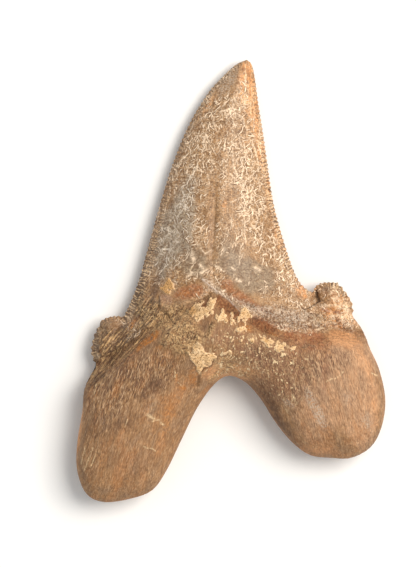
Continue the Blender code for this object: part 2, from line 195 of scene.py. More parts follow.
        [(5.0, -11.9), (5.2, -12.1), (5.3, -12.8), (5.1, -13.2), (4.8, -12.8)],
        [(-1.3, -12.9), (-0.3, -12.3), (0.0, -12.5), (0.1, -12.9), (-0.3, -13.2), (-0.6, -12.9),
         (-1.2, -13.2)],
        [(-11.0, 0.3), (-10.7, -0.3), (-10.1, -0.6), (-10.2, -1.2), (-9.9, -1.6), (-10.7, -1.8),
         (-10.8, -2.4), (-11.3, -2.5), (-11.8, -2.4), (-12.0, -2.0), (-12.8, -1.6), (-12.7, -1.1),
         (-12.1, -1.2), (-11.7, -0.3)],
    ],
}

meshing = {
    "innerStep": 0.42,   # mm, longest triangle side on the upward face
    "outerStep": 1.00,   # and on the face it lies on
    "edgeStep": 0.20,    # close to the serrated edges
    "edgeBand": 0.6,
    "detailStep": 0.18,  # along the crusts' rims, the lip, the cracks, the scratches and the fold
    "detailBand": 0.35,
    "neckStep": 0.28,    # in the broken ground between crown and root
    "neckBand": (-0.8, 6.5),  # mm rootward of the enamel's end
    "neckSpan": (-21, 19),    # mm, left to right
    "sampleStep": 0.1,   # between the points that stand for the cutting edges
    "longestSide": 0.9,  # of a serration on the solid's rim
    "fewestSides": 10,   # that make up a serrated edge
}


def rimEdges(bm):
    # where the upward face and the downward face meet
    return [e for e in bm.edges if (e.link_faces[0].normal.z > 0) != (e.link_faces[1].normal.z > 0)]


def rimChains(bm):
    # the short, serrated stretches of the rim as runs of points, in walking order
    links = {}
    for e in rimEdges(bm):
        if e.calc_length() < meshing["longestSide"] * mm:
            for v in e.verts:
                links.setdefault(v, []).append(e.other_vert(v))
    chains, seen = [], set()
    for start in sorted(links, key=lambda v: (len(links[v]), v.index)):
        if start in seen:
            continue
        chain = [start]
        seen.add(start)
        while True:
            onward = [v for v in links[chain[-1]] if v not in seen]
            if not onward:
                break
            chain.append(onward[0])
            seen.add(onward[0])
        if len(chain) > meshing["fewestSides"]:
            chains.append(chain)
    return chains


def evened(line, reach=9):
    # a line of points without its serrations: the mean over reach points each way
    padded = np.vstack([np.repeat(line[:1], reach, 0), line, np.repeat(line[-1:], reach, 0)])
    window = np.ones(2 * reach + 1) / (2 * reach + 1)
    return np.column_stack([np.convolve(padded[:, i], window, "valid") for i in range(2)])


def serratedEdge(bm):
    # close points along the cutting edges, each with how far along the edge it is and which way that runs,
    # and each notch between two serrations with its way inward
    samples, runs, ways, notches = [], [], [], []
    start = 0.0
    for chain in rimChains(bm):
        line = []
        for v, onward in zip(chain, chain[1:]):
            p, q = v.co.xy / mm, onward.co.xy / mm
            count = max(1, int((p - q).length / meshing["sampleStep"]))
            line += [tuple(p.lerp(q, i / count)) for i in range(count)]
        line = np.array(line)
        mean = evened(line)
        step = np.gradient(mean, axis=0)
        length = np.linalg.norm(step, axis=1)
        samples += list(line)
        runs += list(start + np.cumsum(length))
        ways += list(step / np.maximum(length, 1e-6)[:, None])
        start += length.sum() + 40  # so that one edge's pattern doesn't run on into the next
        for before, v, after in zip(chain, chain[1:], chain[2:]):
            middle = (before.co + after.co) / 2
            faces = [f for f in v.link_faces if f.normal.z > 0]
            inward = sum((f.calc_center_median() for f in faces), Vector()) / len(faces) - v.co
            inward.z = 0
            if (v.co - middle).dot(inward) > 0:
                run = after.co - before.co
                way = Vector((run.y, -run.x, 0)).normalized()
                notches.append((v.co / mm, way if way.dot(inward) > 0 else -way))
    return samples, np.array(runs), np.array(ways), notches


def treeOf(points):
    tree = KDTree(len(points))
    for i, p in enumerate(points):
        tree.insert((p[0], p[1], 0), i)
    tree.balance()
    return tree


def curvedMiddle(edge, onRim, roundness=0.25):
    # the middle of an edge, lifted on to the round surface that its ends' normals tell of
    a, b = edge.verts
    middle = (a.co + b.co) / 2
    if a in onRim and b in onRim:
        return middle
    lift = Vector()
    for v in (a, b):
        if v not in onRim:
            lift -= v.normal * (middle - v.co).dot(v.normal) * roundness
    return middle + lift


def belowLine(points, line):
    # mm rootward of where the enamel ends, negative on the crown
    xs, ys = zip(*line)
    side = np.sign(np.interp(points[:, 0], xs, ys) - points[:, 1])
    return side * lineDistance(points, line)


def fineMesh(cad):
    bm = bmesh.new()
    bm.from_mesh(cad.data)
    bmesh.ops.remove_doubles(bm, verts=bm.verts, dist=1e-6)
    bm.normal_update()
    bm.verts.index_update()
    edgeSamples, runs, ways, notches = serratedEdge(bm)
    edgeTree = treeOf(edgeSamples)
    lines = [loop + loop[:1] for loop in places["crusts"]] + [places["lip"], places["heelFold"]]
    lines += [line for kind in ("marks", "scratches", "cracks") for width, line in places[kind]]
    detailTree = treeOf([np.array(a) + (np.array(b) - a) * t for line in lines for a, b in zip(line, line[1:])
                         for t in np.arange(0, 1, 0.2)])
    above, under = meshing["neckBand"]
    left, right = meshing["neckSpan"]
    for turn in range(12):
        bm.normal_update()
        rim = rimEdges(bm)
        onRim = {v for e in rim for v in e.verts}
        rim = set(rim)
        long = []
        middles = np.array([(e.verts[0].co + e.verts[1].co) / (2 * mm) for e in bm.edges])
        below = belowLine(middles, places["enamelEnd"])
        rough = (below > above) & (below < under) & (middles[:, 0] > left) & (middles[:, 0] < right)
        for e, nearNeck in zip(bm.edges, rough):
            length = e.calc_length() / mm
            if length < meshing["edgeStep"]:
                continue
            middle = (e.verts[0].co + e.verts[1].co) / (2 * mm)
            up = e.link_faces[0].normal.z > 0
            limit = meshing["innerStep"] if up or e in rim else meshing["outerStep"]
            if up and nearNeck:
                limit = meshing["neckStep"]
            if length <= limit:
                flat = (middle.x, middle.y, 0)
                if edgeTree.find(flat)[2] < meshing["edgeBand"]:
                    limit = meshing["edgeStep"]
                elif up and detailTree.find(flat)[2] < meshing["detailBand"]:
                    limit = meshing["detailStep"]
            if length > limit:
                long.append((e, curvedMiddle(e, onRim)))
        if not long:
            break
        for e, place in long:
            bmesh.utils.edge_split(e, e.verts[0], 0.5)[1].co = place
        bmesh.ops.triangulate(bm, faces=[f for f in bm.faces if len(f.verts) > 3])
    rim = rimEdges(bm)
    onRim = {v for e in rim for v in e.verts}
    free = [v for v in bm.verts if v not in onRim]
    for turn in range(2):
        bmesh.ops.smooth_vert(bm, verts=free, factor=0.5, use_axis_x=True, use_axis_y=True, use_axis_z=True)
    bm.normal_update()
    print("fine mesh:", len(bm.verts), "points,", len(bm.faces), "triangles")
    return bm, onRim, (edgeTree, np.array(edgeSamples), runs, ways), notches


bm, onRim, cuttingEdge, notches = fineMesh(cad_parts["tooth"])
bm.verts.index_update()
points = np.array([v.co for v in bm.verts]) / mm
normals = np.array([v.normal for v in bm.verts])
rimMask = np.array([v in onRim for v in bm.verts])
# the upward, swollen face, which is the tooth's inner one
inner = np.array([sum(f.normal.z > 0 for f in v.link_faces) * 2 >= len(v.link_faces) for v in bm.verts])


def edgePlace(points):
    # how far each point is along the nearest cutting edge, and how far in from it, in mm
    tree, samples, runs, ways = cuttingEdge
    found = [tree.find((x, y, 0)) for x, y, _ in points]
    index = np.array([f[1] for f in found])
    along = runs[index] + np.sum((points[:, :2] - samples[index]) * ways[index], axis=1)
    return along, np.array([f[2] for f in found])


def notchGrooves(points, toEdge, width=0.17, length=1.1):
    # 1 in the little valley that runs in from each notch, fading over its length in mm
    tree = treeOf([n[0] for n in notches])
    groove = np.zeros(len(points))
    for i in np.flatnonzero(toEdge < length + 0.2):
        x, y, _ = points[i]
        _, k, _ = tree.find((x, y, 0))
        notch, way = notches[k]
        dx, dy = x - notch.x, y - notch.y
        inward = dx * way.x + dy * way.y
        across = dx * way.y - dy * way.x
        groove[i] = math.exp(-(across / width) ** 2) * max(0.0, 1 - max(0.0, inward) / length)
    return groove


rootward = np.where(inner, belowLine(points, places["enamelEnd"]),
                    belowLine(points, places["enamelEndUnder"]))
wobble = grain(points, 1.1, 3) * 0.35 + grain(points, 0.45, 4) * 0.15
alongEdge, toEdge = edgePlace(points)
grooves = notchGrooves(points, toEdge)
ribbed = spot(points, *places["ribbed"])
cusplets = np.max([spot(points, *place) for place in places["cusplets"]], axis=0)

# mm inside the nearest crust's outline, which its wear has made ragged; negative outside
crust = np.full(len(points), -9.0)
for loop in places["crusts"]:
    crust = np.maximum(crust, loopDepth(points, loop))
crust += wobble * 0.7 - 0.5 * smooth(0.30, 0.55, grain(points, 0.55, 21))

# half widths in mm
lineWidths = {
    "lip": 0.24,
    "crack": 0.12,              # and more by its depth
    "foldShut": 0.17,
    "foldOpen": 0.34,           # towards the edge
    "foldOpens": (-4.2, -3.4),  # mm up the tooth
}
opening = smooth(*lineWidths["foldOpens"], points[:, 1])
foldWidth = lineWidths["foldShut"] + (lineWidths["foldOpen"] - lineWidths["foldShut"]) * opening


def stroke(line, width, fray):
    # 1 along the middle of a line, fading over its half width in mm, with a frayed edge
    return np.exp(-((lineDistance(points, line) + fray * np.abs(wobble)) / width) ** 2) * inner


def strokes(kind, fray):
    return np.max([stroke(line, width, fray) for width, line in places[kind]], axis=0)


# where each ground and each mark lies, as a share at each point
masks = {
    "root": smooth(-0.15, 0.25, rootward + wobble * 0.8 + 0.5 * grain(points, 2.3, 5) * inner),
    "neck": np.where(inner, np.exp(-((rootward - 1.3) / 1.5) ** 2), np.exp(-((rootward - 0.9) / 0.9) ** 2)),
    "ribs": smooth(1.7 + 1.1 * ribbed, 0.2, toEdge + 0.9 * wobble) * (1 - 0.45 * cusplets),
    "notch": grooves,
    "crust": smooth(-0.06, 0.12, crust) * inner,
    "core": smooth(0.15, 0.7, crust) * inner,  # the crusts without their rims
    "plate": smooth(-0.10, 0.10, loopDepth(points, places["plate"]) + wobble * 0.3) * inner,
    "fold": stroke(places["heelFold"], foldWidth, 0.5),
    "lip": stroke(places["lip"], lineWidths["lip"], 0.5),
    "mark": strokes("marks", 0.5),
    "stroke": strokes("scratches", 0.35),
    "crack": sum(stroke(line, lineWidths["crack"] + depth, 0.3) * depth * 6
                 for depth, line in places["cracks"]).clip(0, 1),
}

# stains and dust, as soft patches: (x, y, across, along, turn, strength)
stains = {
    "warm": [  # honey-coloured enamel: the tip, the right-hand edge and the heel
        (3.6, 36.0, 1.8, 4.2, 4, 1.5), (5.8, 27.0, 1.5, 7.0, 8, 1.0), (7.8, 16.0, 1.4, 7.0, 10, 1.0),
        (2.2, 33.0, 1.2, 2.6, 0, 0.4), (10.8, 5.0, 1.5, 6.0, 22, 0.9), (13.4, -1.0, 2.2, 2.4, 20, 0.8),
        (19.8, -3.2, 2.8, 2.8, 0, 0.65), (19.4, -7.0, 3.4, 1.4, 0, 1.2), (-1.0, 13.2, 0.9, 1.8, 0, 0.5),
        (-3.4, 1.6, 2.0, 1.6, 0, 0.4), (3.0, 25.0, 2.2, 6.0, 0, 0.35), (-4.2, 31.2, 0.9, 4.6, -32, 0.5),
    ],
    "grey": [  # enamel that has leached grey, down the left side
        (-8.0, 15.0, 2.2, 7.0, -14, 0.6), (-11.6, 5.5, 2.0, 6.0, -14, 1.0), (-9.0, 8.5, 3.4, 6.0, 0, 0.7),
        (-3.0, 10.6, 0.5, 5.4, -2, 0.3),
    ],
    "scribble": [  # where the etched scratches crowd together
        (2.4, 24.0, 1.9, 4.2, 6, 0.9), (3.0, 16.5, 1.8, 5.4, 8, 1.2), (-5.0, 25.0, 2.0, 6.0, -26, 0.9),
        (4.4, 10.0, 1.5, 3.4, 0, 0.7), (4.6, 19.0, 1.6, 4.6, 10, 0.7), (-7.6, 14.6, 1.7, 2.8, -20, 0.8),
        (-12.6, 7.4, 1.3, 2.8, -14, 0.6), (9.6, 2.4, 1.5, 3.0, 24, 0.7), (11.2, 0.2, 2.0, 1.1, -20, 0.9),
        (-3.4, 21.0, 1.6, 3.0, 0, 0.3), (-6.2, 18.4, 1.8, 3.0, -20, 0.4), (-1.0, 20.0, 1.8, 2.8, 0, 0.3),
        (0.6, 30.0, 2.0, 1.8, 40, 0.7), (-0.8, 32.6, 1.4, 2.4, -30, 0.5), (2.2, 32.6, 1.5, 1.8, 0, 0.9),
        (-10.6, 2.2, 1.0, 1.4, 0, 0.4),
    ],
    "clump": [  # where they run together in a chalky, branching net
        (2.6, 21.6, 1.0, 2.2, 10, 1.0), (2.4, 17.7, 1.1, 1.8, -10, 1.3), (3.6, 14.5, 1.2, 1.6, 0, 1.1),
        (2.1, 11.6, 1.0, 1.8, 0, 0.9), (4.5, 9.0, 0.8, 2.2, 0, 0.8), (0.6, 24.2, 1.2, 1.4, 40, 0.9),
        (-0.2, 30.2, 1.8, 0.8, 35, 1.0), (-7.8, 14.5, 1.1, 1.6, -20, 1.2), (-9.4, 12.6, 0.8, 1.6, -20, 0.9),
        (-10.8, 9.6, 0.8, 1.8, -14, 0.8), (-11.8, 5.4, 0.9, 1.6, 0, 0.8), (-4.4, 25.6, 1.0, 2.6, -26, 0.9),
        (-3.2, 20.4, 0.9, 2.0, -10, 0.8), (6.0, 12.6, 0.6, 2.0, 14, 0.6), (7.6, 6.0, 1.0, 2.2, 10, 0.8),
        (10.4, 1.0, 1.6, 1.0, -30, 0.9), (-5.6, 9.6, 0.9, 2.0, 0, 0.6), (5.2, 24.4, 0.7, 2.4, 6, 0.8),
        (-6.6, 20.0, 0.7, 1.8, -20, 0.7), (0.6, 6.0, 1.0, 1.6, 0, 0.5), (-9.6, 7.4, 1.2, 2.6, -10, 0.6),
        (-11.4, 3.0, 0.8, 1.6, -10, 0.7),
    ],
    "barred": [  # where pale bars stand out across the cutting edge
        (-15.8, -2.4, 2.4, 3.8, -18, 1.8), (-17.8, -6.6, 1.5, 2.4, -30, 1.2),
        (-13.6, 4.6, 1.8, 4.0, -16, 1.2), (-10.8, 13.0, 1.3, 5.0, -16, 1.2), (6.6, 19.0, 1.2, 7.0, 8, 0.8),
        (8.6, 10.0, 1.2, 5.0, 12, 0.9), (11.4, 2.6, 1.4, 3.4, 26, 0.9), (19.4, -2.4, 3.4, 3.0, 0, 1.0),
        (-24.8, -10.6, 1.4, 4.0, 0, 1.2), (-6.0, 25.0, 1.2, 5.0, -24, 0.35),
    ],
    "cream": [  # bright bone-white ridges and chips about the right cusplet
        (18.35, -1.8, 0.36, 1.2, -18, 1.2), (18.3, -3.5, 0.35, 0.35, 0, 1.0),
        (19.2, -3.2, 0.8, 0.6, 0, 0.6), (20.4, -5.0, 1.0, 0.6, -10, 1.3), (18.0, -4.45, 1.5, 0.26, 0, 0.9),
        (21.0, -5.6, 0.7, 0.3, -50, 0.9), (19.5, -6.5, 2.2, 0.4, 0, 0.9), (16.0, -8.65, 0.8, 0.22, 14, 0.9),
        (21.6, -2.0, 0.4, 0.9, 30, 0.7), (14.4, -7.6, 0.8, 0.2, -6, 0.7), (-24.0, -13.6, 0.5, 0.5, 0, 0.8),
        (-23.6, -9.0, 0.3, 0.8, 10, 0.5),
    ],
    "olive": [  # bare, smooth, greenish enamel at the crown's foot
        (4.6, 0.2, 4.2, 2.8, 0, 1.1), (-12.6, 1.6, 2.0, 2.2, 0, 0.6), (-6.4, 2.4, 2.8, 2.6, 0, 0.8),
        (0.6, 3.4, 3.0, 2.4, 0, 0.8), (-11.0, 7.0, 2.0, 3.0, 0, 0.4), (-1.0, 7.2, 2.6, 3.0, 0, 0.4),
        (-6.4, 5.0, 3.0, 3.0, 0, 0.4),
    ],
    "bare": [  # where there are few scratches on the enamel
        (-22.8, -10.6, 3.4, 4.6, 0, 1.2), (-15.6, -5.0, 2.6, 4.0, -10, 1.1),
        (12.4, -7.4, 5.4, 1.2, -8, 0.6), (-10.0, -2.6, 3.6, 1.6, 10, 0.9), (2.6, -2.8, 4.6, 1.6, -34, 1.3),
        (0.4, 36.0, 1.4, 3.4, -32, 0.9), (3.4, 38.0, 1.4, 2.6, 0, 1.0), (-12.6, -6.4, 2.6, 1.4, 30, 1.2),
        (-8.0, -5.0, 3.0, 1.0, 18, 1.1), (11.0, -6.6, 4.6, 1.4, -14, 0.5), (19.0, -4.6, 3.4, 3.4, 0, 0.4),
        (-3.0, 10.5, 0.5, 4.5, 0, 0.8), (-4.8, -0.4, 1.6, 1.2, 0, 0.8),
    ],
    "amber": [  # translucent orange-brown bone
        (-14.7, -10.8, 1.5, 0.5, 36, 1.9), (-13.4, -9.6, 0.9, 0.6, 44, 0.9),
        (-16.4, -12.2, 1.6, 0.6, 44, 0.4), (-12.8, -12.0, 1.0, 0.6, 40, 0.5),
        (-17.6, -14.6, 1.6, 1.2, 30, 0.4), (-17.4, -7.6, 1.6, 0.7, 46, 0.9),
        (-6.6, -17.2, 1.6, 2.4, 0, 0.4), (-9.7, -17.0, 0.3, 1.1, 0, 0.5), (-8.4, -19.2, 0.8, 0.3, -30, 0.4),
        (-20.4, -19.0, 0.9, 3.0, -14, 0.4), (-11.0, -24.0, 2.4, 6.0, -20, 0.35),
        (-15.0, -3.6, 0.9, 1.6, 0, 0.5), (-8.2, -2.2, 1.4, 0.7, 20, 0.45), (2.6, -8.4, 1.4, 1.0, -30, 0.6),
        (7.4, -9.5, 1.2, 0.4, -20, 0.5), (16.4, -17.4, 0.7, 5.0, -6, 0.15), (12.0, -31.4, 4.0, 1.8, 0, 0.5),
        (-20.0, -36.0, 5.0, 2.6, 0, 0.25),
    ],
    "glow": [  # partly bright orange bone and partly painted light: the shoulders, the outer edges of the lobes and the arch
        (19.8, -10.4, 2.6, 1.3, -12, 1.5), (23.4, -14.0, 1.4, 4.0, 16, 0.45),
        (25.6, -22.0, 1.2, 6.0, 4, 0.4), (-27.4, -27.0, 1.0, 5.0, -8, 0.8),
        (-21.6, -15.2, 1.6, 1.2, 40, 0.35), (-0.6, -16.4, 4.4, 1.8, 0, 1.2),
        (8.0, -17.6, 3.0, 3.6, 30, 0.42), (15.4, -30.4, 5.0, 1.8, 0, 0.5), (22.6, -7.0, 1.0, 1.6, 20, 0.6),
    ],
    "rubble": [  # broken enamel and grit over the right of the enamel's end
        (8.4, -6.8, 4.6, 1.2, -20, 1.1), (9.4, -5.0, 3.4, 0.8, -18, 0.55), (13.6, -7.0, 3.0, 1.3, -8, 1.2),
        (18.6, -7.2, 3.0, 1.3, 0, 0.7), (3.4, -4.4, 2.0, 0.5, -34, 0.6), (21.4, -8.6, 1.6, 1.2, -20, 0.6),
        (-8.6, -3.8, 2.0, 0.8, 10, 0.3),
    ],
    "flecked": [  # where small cream flecks are scattered
        (1.6, -11.6, 5.0, 3.0, -10, 1.3), (9.0, -13.6, 4.4, 2.2, -10, 0.8), (8.6, -18.6, 2.6, 5.0, 26, 0.5),
        (-1.0, -14.6, 3.6, 1.6, 10, 0.8), (-0.6, -16.0, 4.6, 1.4, 0, 0.9), (-10.6, 1.6, 2.0, 2.6, 0, 0.5),
        (-5.0, 2.0, 4.0, 2.0, 0, 0.4), (4.6, 1.2, 4.0, 2.2, 0, 0.45), (14.0, -19.0, 8.0, 6.0, 0, 0.3),
        (-12.0, -20.0, 6.0, 6.0, 0, 0.25),
    ],
    "ochre": [  # crusts that are darker and more orange
        (-11.6, -1.2, 2.4, 2.4, 0, 1.2), (-6.9, -5.6, 1.3, 1.3, 0, 0.8), (2.6, -6.0, 0.9, 1.0, 0, 0.5),
        (6.2, -10.8, 0.5, 0.4, 0, 0.7),
    ],
    "rust": [  # iron oxide, glazed and orange
        (0.6, -2.4, 2.6, 1.0, -36, 1.1), (3.6, -4.2, 2.4, 0.9, -30, 0.9), (6.4, -5.6, 1.6, 0.6, -26, 0.6),
        (-0.6, -0.3, 1.6, 0.8, 0, 0.5), (-8.8, -2.4, 1.3, 0.9, 20, 1.3), (-6.6, -1.9, 1.8, 1.1, 10, 1.4),
        (11.0, -10.0, 2.2, 1.2, -6, 1.0), (15.0, -10.1, 2.6, 1.1, -4, 1.1), (14.4, -12.0, 3.0, 1.0, 0, 0.5),
        (17.0, -5.4, 1.2, 0.5, -10, 0.9),
    ],
    "recessBrownAndShade": [  # smooth red-brown hollows under the enamel's lip, their colour darkened as painted shade
        (-0.9, -4.4, 2.0, 1.1, -34, 1.0), (1.0, -6.2, 1.0, 0.8, -30, 0.8), (6.3, -8.0, 2.1, 1.3, -28, 1.2),
        (4.2, -7.2, 1.4, 0.8, -30, 0.8), (9.4, -8.2, 1.6, 0.5, -12, 0.7), (13.9, -8.4, 1.4, 0.45, -16, 1.1),
        (19.3, -5.7, 1.2, 0.36, -10, 0.9), (14.6, -5.6, 0.7, 0.3, 0, 0.8), (16.9, -2.2, 0.7, 1.0, 10, 0.6),
        (-4.6, -4.6, 0.5, 0.4, 0, 1.2), (-2.4, -3.2, 0.9, 0.4, 40, 0.8),
    ],
    "darkStainAndShade": [  # manganese, grey-brown, and painted shade in the crown's grooves, in the hollows under the enamel's lip and beside the right cusplet, and down the lobes' edges that turn from the lamp
        (-13.6, -1.2, 0.8, 2.6, -14, 1.3), (-12.0, 3.8, 0.32, 4.8, -18, 0.8),
        (-14.6, 3.0, 0.9, 9.0, -16, 0.35), (-16.0, -7.4, 1.2, 1.6, 50, 0.3),
        (-18.6, -10.0, 2.2, 1.0, 48, 0.5), (-26.6, -20.0, 1.2, 3.4, -10, 0.5),
        (-27.6, -27.0, 1.1, 6.0, -8, 0.1), (-18.0, -25.4, 3.0, 3.0, 0, 0.34),
        (-5.0, -8.2, 1.0, 1.4, -30, 0.8), (-4.3, -10.6, 1.2, 1.0, 0, 0.6), (-13.6, -18.6, 1.5, 1.2, 0, 0.8),
        (-15.4, -20.4, 1.4, 0.9, 0, 0.5), (-19.6, -25.6, 2.4, 1.0, 20, 0.5),
        (-22.6, -21.6, 1.0, 2.6, 0, 0.3), (8.4, -24.4, 1.2, 6.4, 32, 0.85),
        (8.0, -18.0, 2.4, 3.4, 28, 0.58), (-19.4, -8.0, 1.0, 2.0, -30, 0.7),
        (-22.9, -10.6, 2.5, 3.8, 0, 1.2), (19.6, -2.6, 2.0, 1.6, 0, 0.5), (6.0, -8.2, 1.8, 0.8, -28, 0.7),
        (15.4, -31.4, 5.0, 3.0, 0, 0.2), (-18.0, -18.6, 5.0, 3.0, 0, 0.2), (16.9, -1.6, 0.8, 1.1, 20, 0.7),
        (8.4, -6.9, 2.6, 0.6, -24, 0.5), (14.8, -33.0, 5.0, 1.6, 0, 0.25), (-19.0, -38.4, 6.0, 1.8, 0, 0.3),
        (-2.8, 9.8, 0.24, 4.4, -2, 0.5), (5.2, -7.5, 1.6, 0.35, -38, 0.9), (7.6, -8.7, 0.9, 0.35, -46, 0.7),
    ],
    "bloom": [  # chalky grey film, and a pale patch on the tip's worn facet as painted light
        (15.5, -23.6, 0.9, 3.2, 26, 1.3), (14.0, -20.4, 0.7, 1.6, 26, 0.7),
        (10.3, -21.9, 0.7, 1.4, 50, 0.7), (24.2, -25.6, 1.6, 2.6, 10, 0.6), (21.0, -21.0, 2.0, 2.0, 0, 0.4),
        (9.8, -6.0, 4.6, 1.1, -14, 0.9), (14.6, -6.6, 2.6, 1.1, -6, 0.6), (-7.2, -0.4, 1.4, 0.7, 0, 0.2),
        (-3.6, -1.0, 2.2, 0.5, -42, 1.2), (0.4, -3.7, 2.2, 0.4, -42, 1.1), (4.4, -5.4, 2.4, 0.8, -28, 0.7),
        (-2.4, -1.5, 2.0, 0.55, -42, 1.0), (1.8, -4.1, 1.8, 0.5, -36, 1.0),
        (-10.8, 6.2, 1.6, 4.6, -14, 0.5), (-0.4, 36.0, 1.3, 3.0, -32, 1.2),
        (-14.6, -22.4, 2.4, 3.4, 0, 0.35), (-22.4, -25.4, 2.0, 3.0, 0, 0.3),
    ],
    "sand": [  # sandstone grains that still cling to the neck and root
        (-8.6, -8.2, 2.6, 2.4, -12, 1.1), (-6.8, -10.6, 2.2, 1.6, 0, 0.9), (-12.6, -7.6, 2.4, 1.4, 40, 1.0),
        (-8.6, -12.4, 1.6, 1.6, 0, 0.6), (-0.6, -14.6, 2.6, 1.2, 10, 0.6), (2.0, -16.6, 3.0, 0.9, -10, 0.6),
        (-15.4, -5.2, 1.5, 2.8, 20, 0.8), (-22.8, -10.2, 2.2, 3.6, 0, 0.4),
        (-11.0, -10.6, 1.8, 1.2, 30, 0.8), (-2.6, -17.2, 2.0, 0.8, 40, 0.7),
        (16.0, -7.0, 3.4, 1.0, -10, 0.6), (-3.4, -8.4, 0.6, 1.4, -20, 0.9),
        (-13.0, -5.6, 2.6, 1.6, 20, 0.8), (-9.0, -5.4, 1.6, 1.0, 0, 0.7),
    ],
    "fibrous": [  # root bone with its fibres bare
        (-17.0, -17.0, 5.6, 4.6, 0, 1.1), (-22.6, -21.0, 3.4, 5.6, 0, 1.0),
        (-12.0, -15.6, 2.6, 2.6, 0, 0.7), (-24.6, -31.0, 2.4, 4.0, 0, 0.4), (9.0, -14.0, 4.6, 3.0, 0, 0.9),
        (14.6, -14.2, 4.6, 3.4, 0, 1.1), (20.6, -13.6, 3.0, 2.6, 0, 0.3), (5.0, -13.4, 3.0, 2.4, 0, 0.5),
        (7.1, -17.4, 2.6, 4.4, 26, 1.0), (12.6, -19.6, 3.4, 3.0, 0, 0.6),
    ],
    "strands": [  # torn fibres that run up the left shoulder and over the left cusplet
        (-24.0, -16.6, 3.4, 1.7, 50, 1.0), (-19.6, -11.6, 3.4, 1.9, 47, 1.1),
        (-15.6, -7.4, 3.0, 1.4, 46, 0.9), (-22.0, -13.0, 2.4, 1.4, 48, 0.8),
        (-17.6, -10.6, 3.6, 2.2, 47, 0.9), (-13.8, -5.0, 2.0, 1.8, 60, 0.9),
        (-16.0, -2.6, 1.4, 3.4, -10, 0.9), (-22.6, -10.4, 2.0, 3.4, 0, 0.8),
    ],
    "umber": [  # reddish brown bone under the neck
        (0.5, -9.6, 3.0, 1.5, -20, 0.9), (4.0, -12.4, 6.0, 1.7, -16, 1.0),
        (10.4, -14.2, 4.4, 2.0, -10, 0.8), (-2.8, -9.8, 1.4, 1.6, 0, 0.7), (8.4, -17.8, 2.8, 4.4, 26, 1.1),
        (-13.6, -19.0, 2.6, 1.8, 0, 0.6), (-4.2, -3.6, 1.0, 0.6, 0, 0.8), (13.0, -20.0, 1.4, 5.0, 6, 0.4),
        (16.8, -17.4, 0.8, 5.0, -6, 0.8), (-17.0, -31.0, 6.0, 8.0, -10, 0.4),
        (16.0, -30.6, 6.0, 3.0, 0, 0.45), (14.0, -10.4, 3.0, 0.9, -4, 0.3),
    ],
    "pink": [  # paler, pinker bone of the right lobe
        (18.6, -19.0, 6.0, 7.0, 0, 0.9), (23.6, -22.0, 2.6, 9.0, 0, 1.1), (14.4, -25.0, 5.0, 6.0, 0, 0.5),
        (20.6, -12.6, 4.0, 3.0, 0, 0.8), (-9.6, -18.6, 2.4, 5.0, 24, 0.4),
        (-17.3, -13.3, 1.6, 0.9, 40, 0.9), (3.0, -13.0, 3.0, 2.0, 0, 0.5),
    ],
}
# and on the outer face, which it lies on
stainsUnder = {
    "warm": [(2.6, 34.0, 2.2, 5.0, 4, 1.0), (6.4, 18.0, 1.6, 9.0, 8, 0.7), (16.0, -6.0, 3.0, 2.0, 0, 0.6)],
    "grey": [(-8.4, 9.0, 3.4, 9.0, -12, 0.9), (-1.0, 22.0, 2.4, 7.0, -10, 0.6),
             (4.0, 1.0, 5.0, 3.0, 0, 0.5)],
    "scribble": [(2.0, 18.0, 2.2, 7.0, 0, 0.9), (-4.6, 6.0, 2.4, 5.0, -20, 0.8),
                 (8.0, 4.0, 2.0, 4.0, 20, 0.6)],
    "clump": [(2.0, 18.0, 2.0, 6.0, 4, 0.9), (-4.6, 6.0, 2.0, 4.0, -20, 0.8), (8.0, 4.0, 1.6, 3.0, 20, 0.7),
              (-1.0, 28.0, 1.6, 3.0, -20, 0.7)],
    "barred": [(-14.0, 4.0, 1.6, 12.0, -16, 0.7), (8.4, 12.0, 1.6, 12.0, 12, 0.7)],
    "olive": [(-2.0, -4.0, 6.0, 3.0, 0, 0.9), (-12.0, -3.0, 3.0, 4.0, 0, 0.6)],
    "bare": [(-2.0, -6.0, 6.0, 2.4, 0, 0.8), (10.0, -8.0, 4.0, 2.0, 0, 0.6)],
    "glow": [(21.0, -20.0, 3.0, 6.0, 0, 0.6), (-22.0, -30.0, 3.0, 5.0, 0, 0.5)],
    "flecked": [(0.0, -14.0, 8.0, 2.4, 0, 0.7), (14.0, -22.0, 6.0, 5.0, 0, 0.5),
                (-16.0, -24.0, 6.0, 7.0, 0, 0.5)],
    "rust": [(-6.0, -12.4, 4.0, 1.0, -6, 0.9), (8.0, -12.6, 3.4, 0.9, 4, 0.9),
             (-18.0, -18.0, 2.0, 3.0, 0, 0.5)],
    "darkStainAndShade": [(-20.0, -20.0, 2.4, 4.0, 10, 0.7), (12.0, -17.0, 4.0, 1.6, -10, 0.6),
             (-2.0, -15.4, 3.0, 1.0, 0, 0.7), (-24.0, -34.0, 3.0, 3.0, 0, 0.4)],
    "bloom": [(16.0, -27.0, 2.6, 4.0, 10, 0.8), (-18.0, -31.0, 2.6, 4.6, 16, 0.7),
              (4.0, -9.6, 5.0, 1.2, 0, 0.6)],
    "sand": [(-11.0, -13.6, 3.0, 1.4, -8, 1.1), (3.0, -13.4, 2.6, 1.2, 0, 1.0),
             (15.0, -12.6, 2.2, 1.2, 0, 0.8), (-0.6, -16.6, 4.0, 1.0, 0, 0.7)],
    "fibrous": [(-18.0, -20.0, 6.0, 4.0, 0, 1.0), (12.0, -17.0, 7.0, 3.0, 0, 1.0),
                (-21.0, -30.0, 4.0, 6.0, 0, 0.5)],
    "pink": [(18.0, -24.0, 6.0, 6.0, 0, 0.7)],
}
# their edges are frayed by two sizes of lumps
fray = 1 + 0.35 * grain(points, 1.6, 31) + 0.35 * grain(points, 0.7, 32)
for name, patches in stains.items():
    total = np.zeros(len(points))
    for face, group in ((inner, patches), (~inner, stainsUnder.get(name, []))):
        total += face * sum(spot(points, x, y, a, b, turn) * strength for x, y, a, b, turn, strength in group)
    masks[name] = smooth(0.12, 0.88, total * fray)
print("masks made")

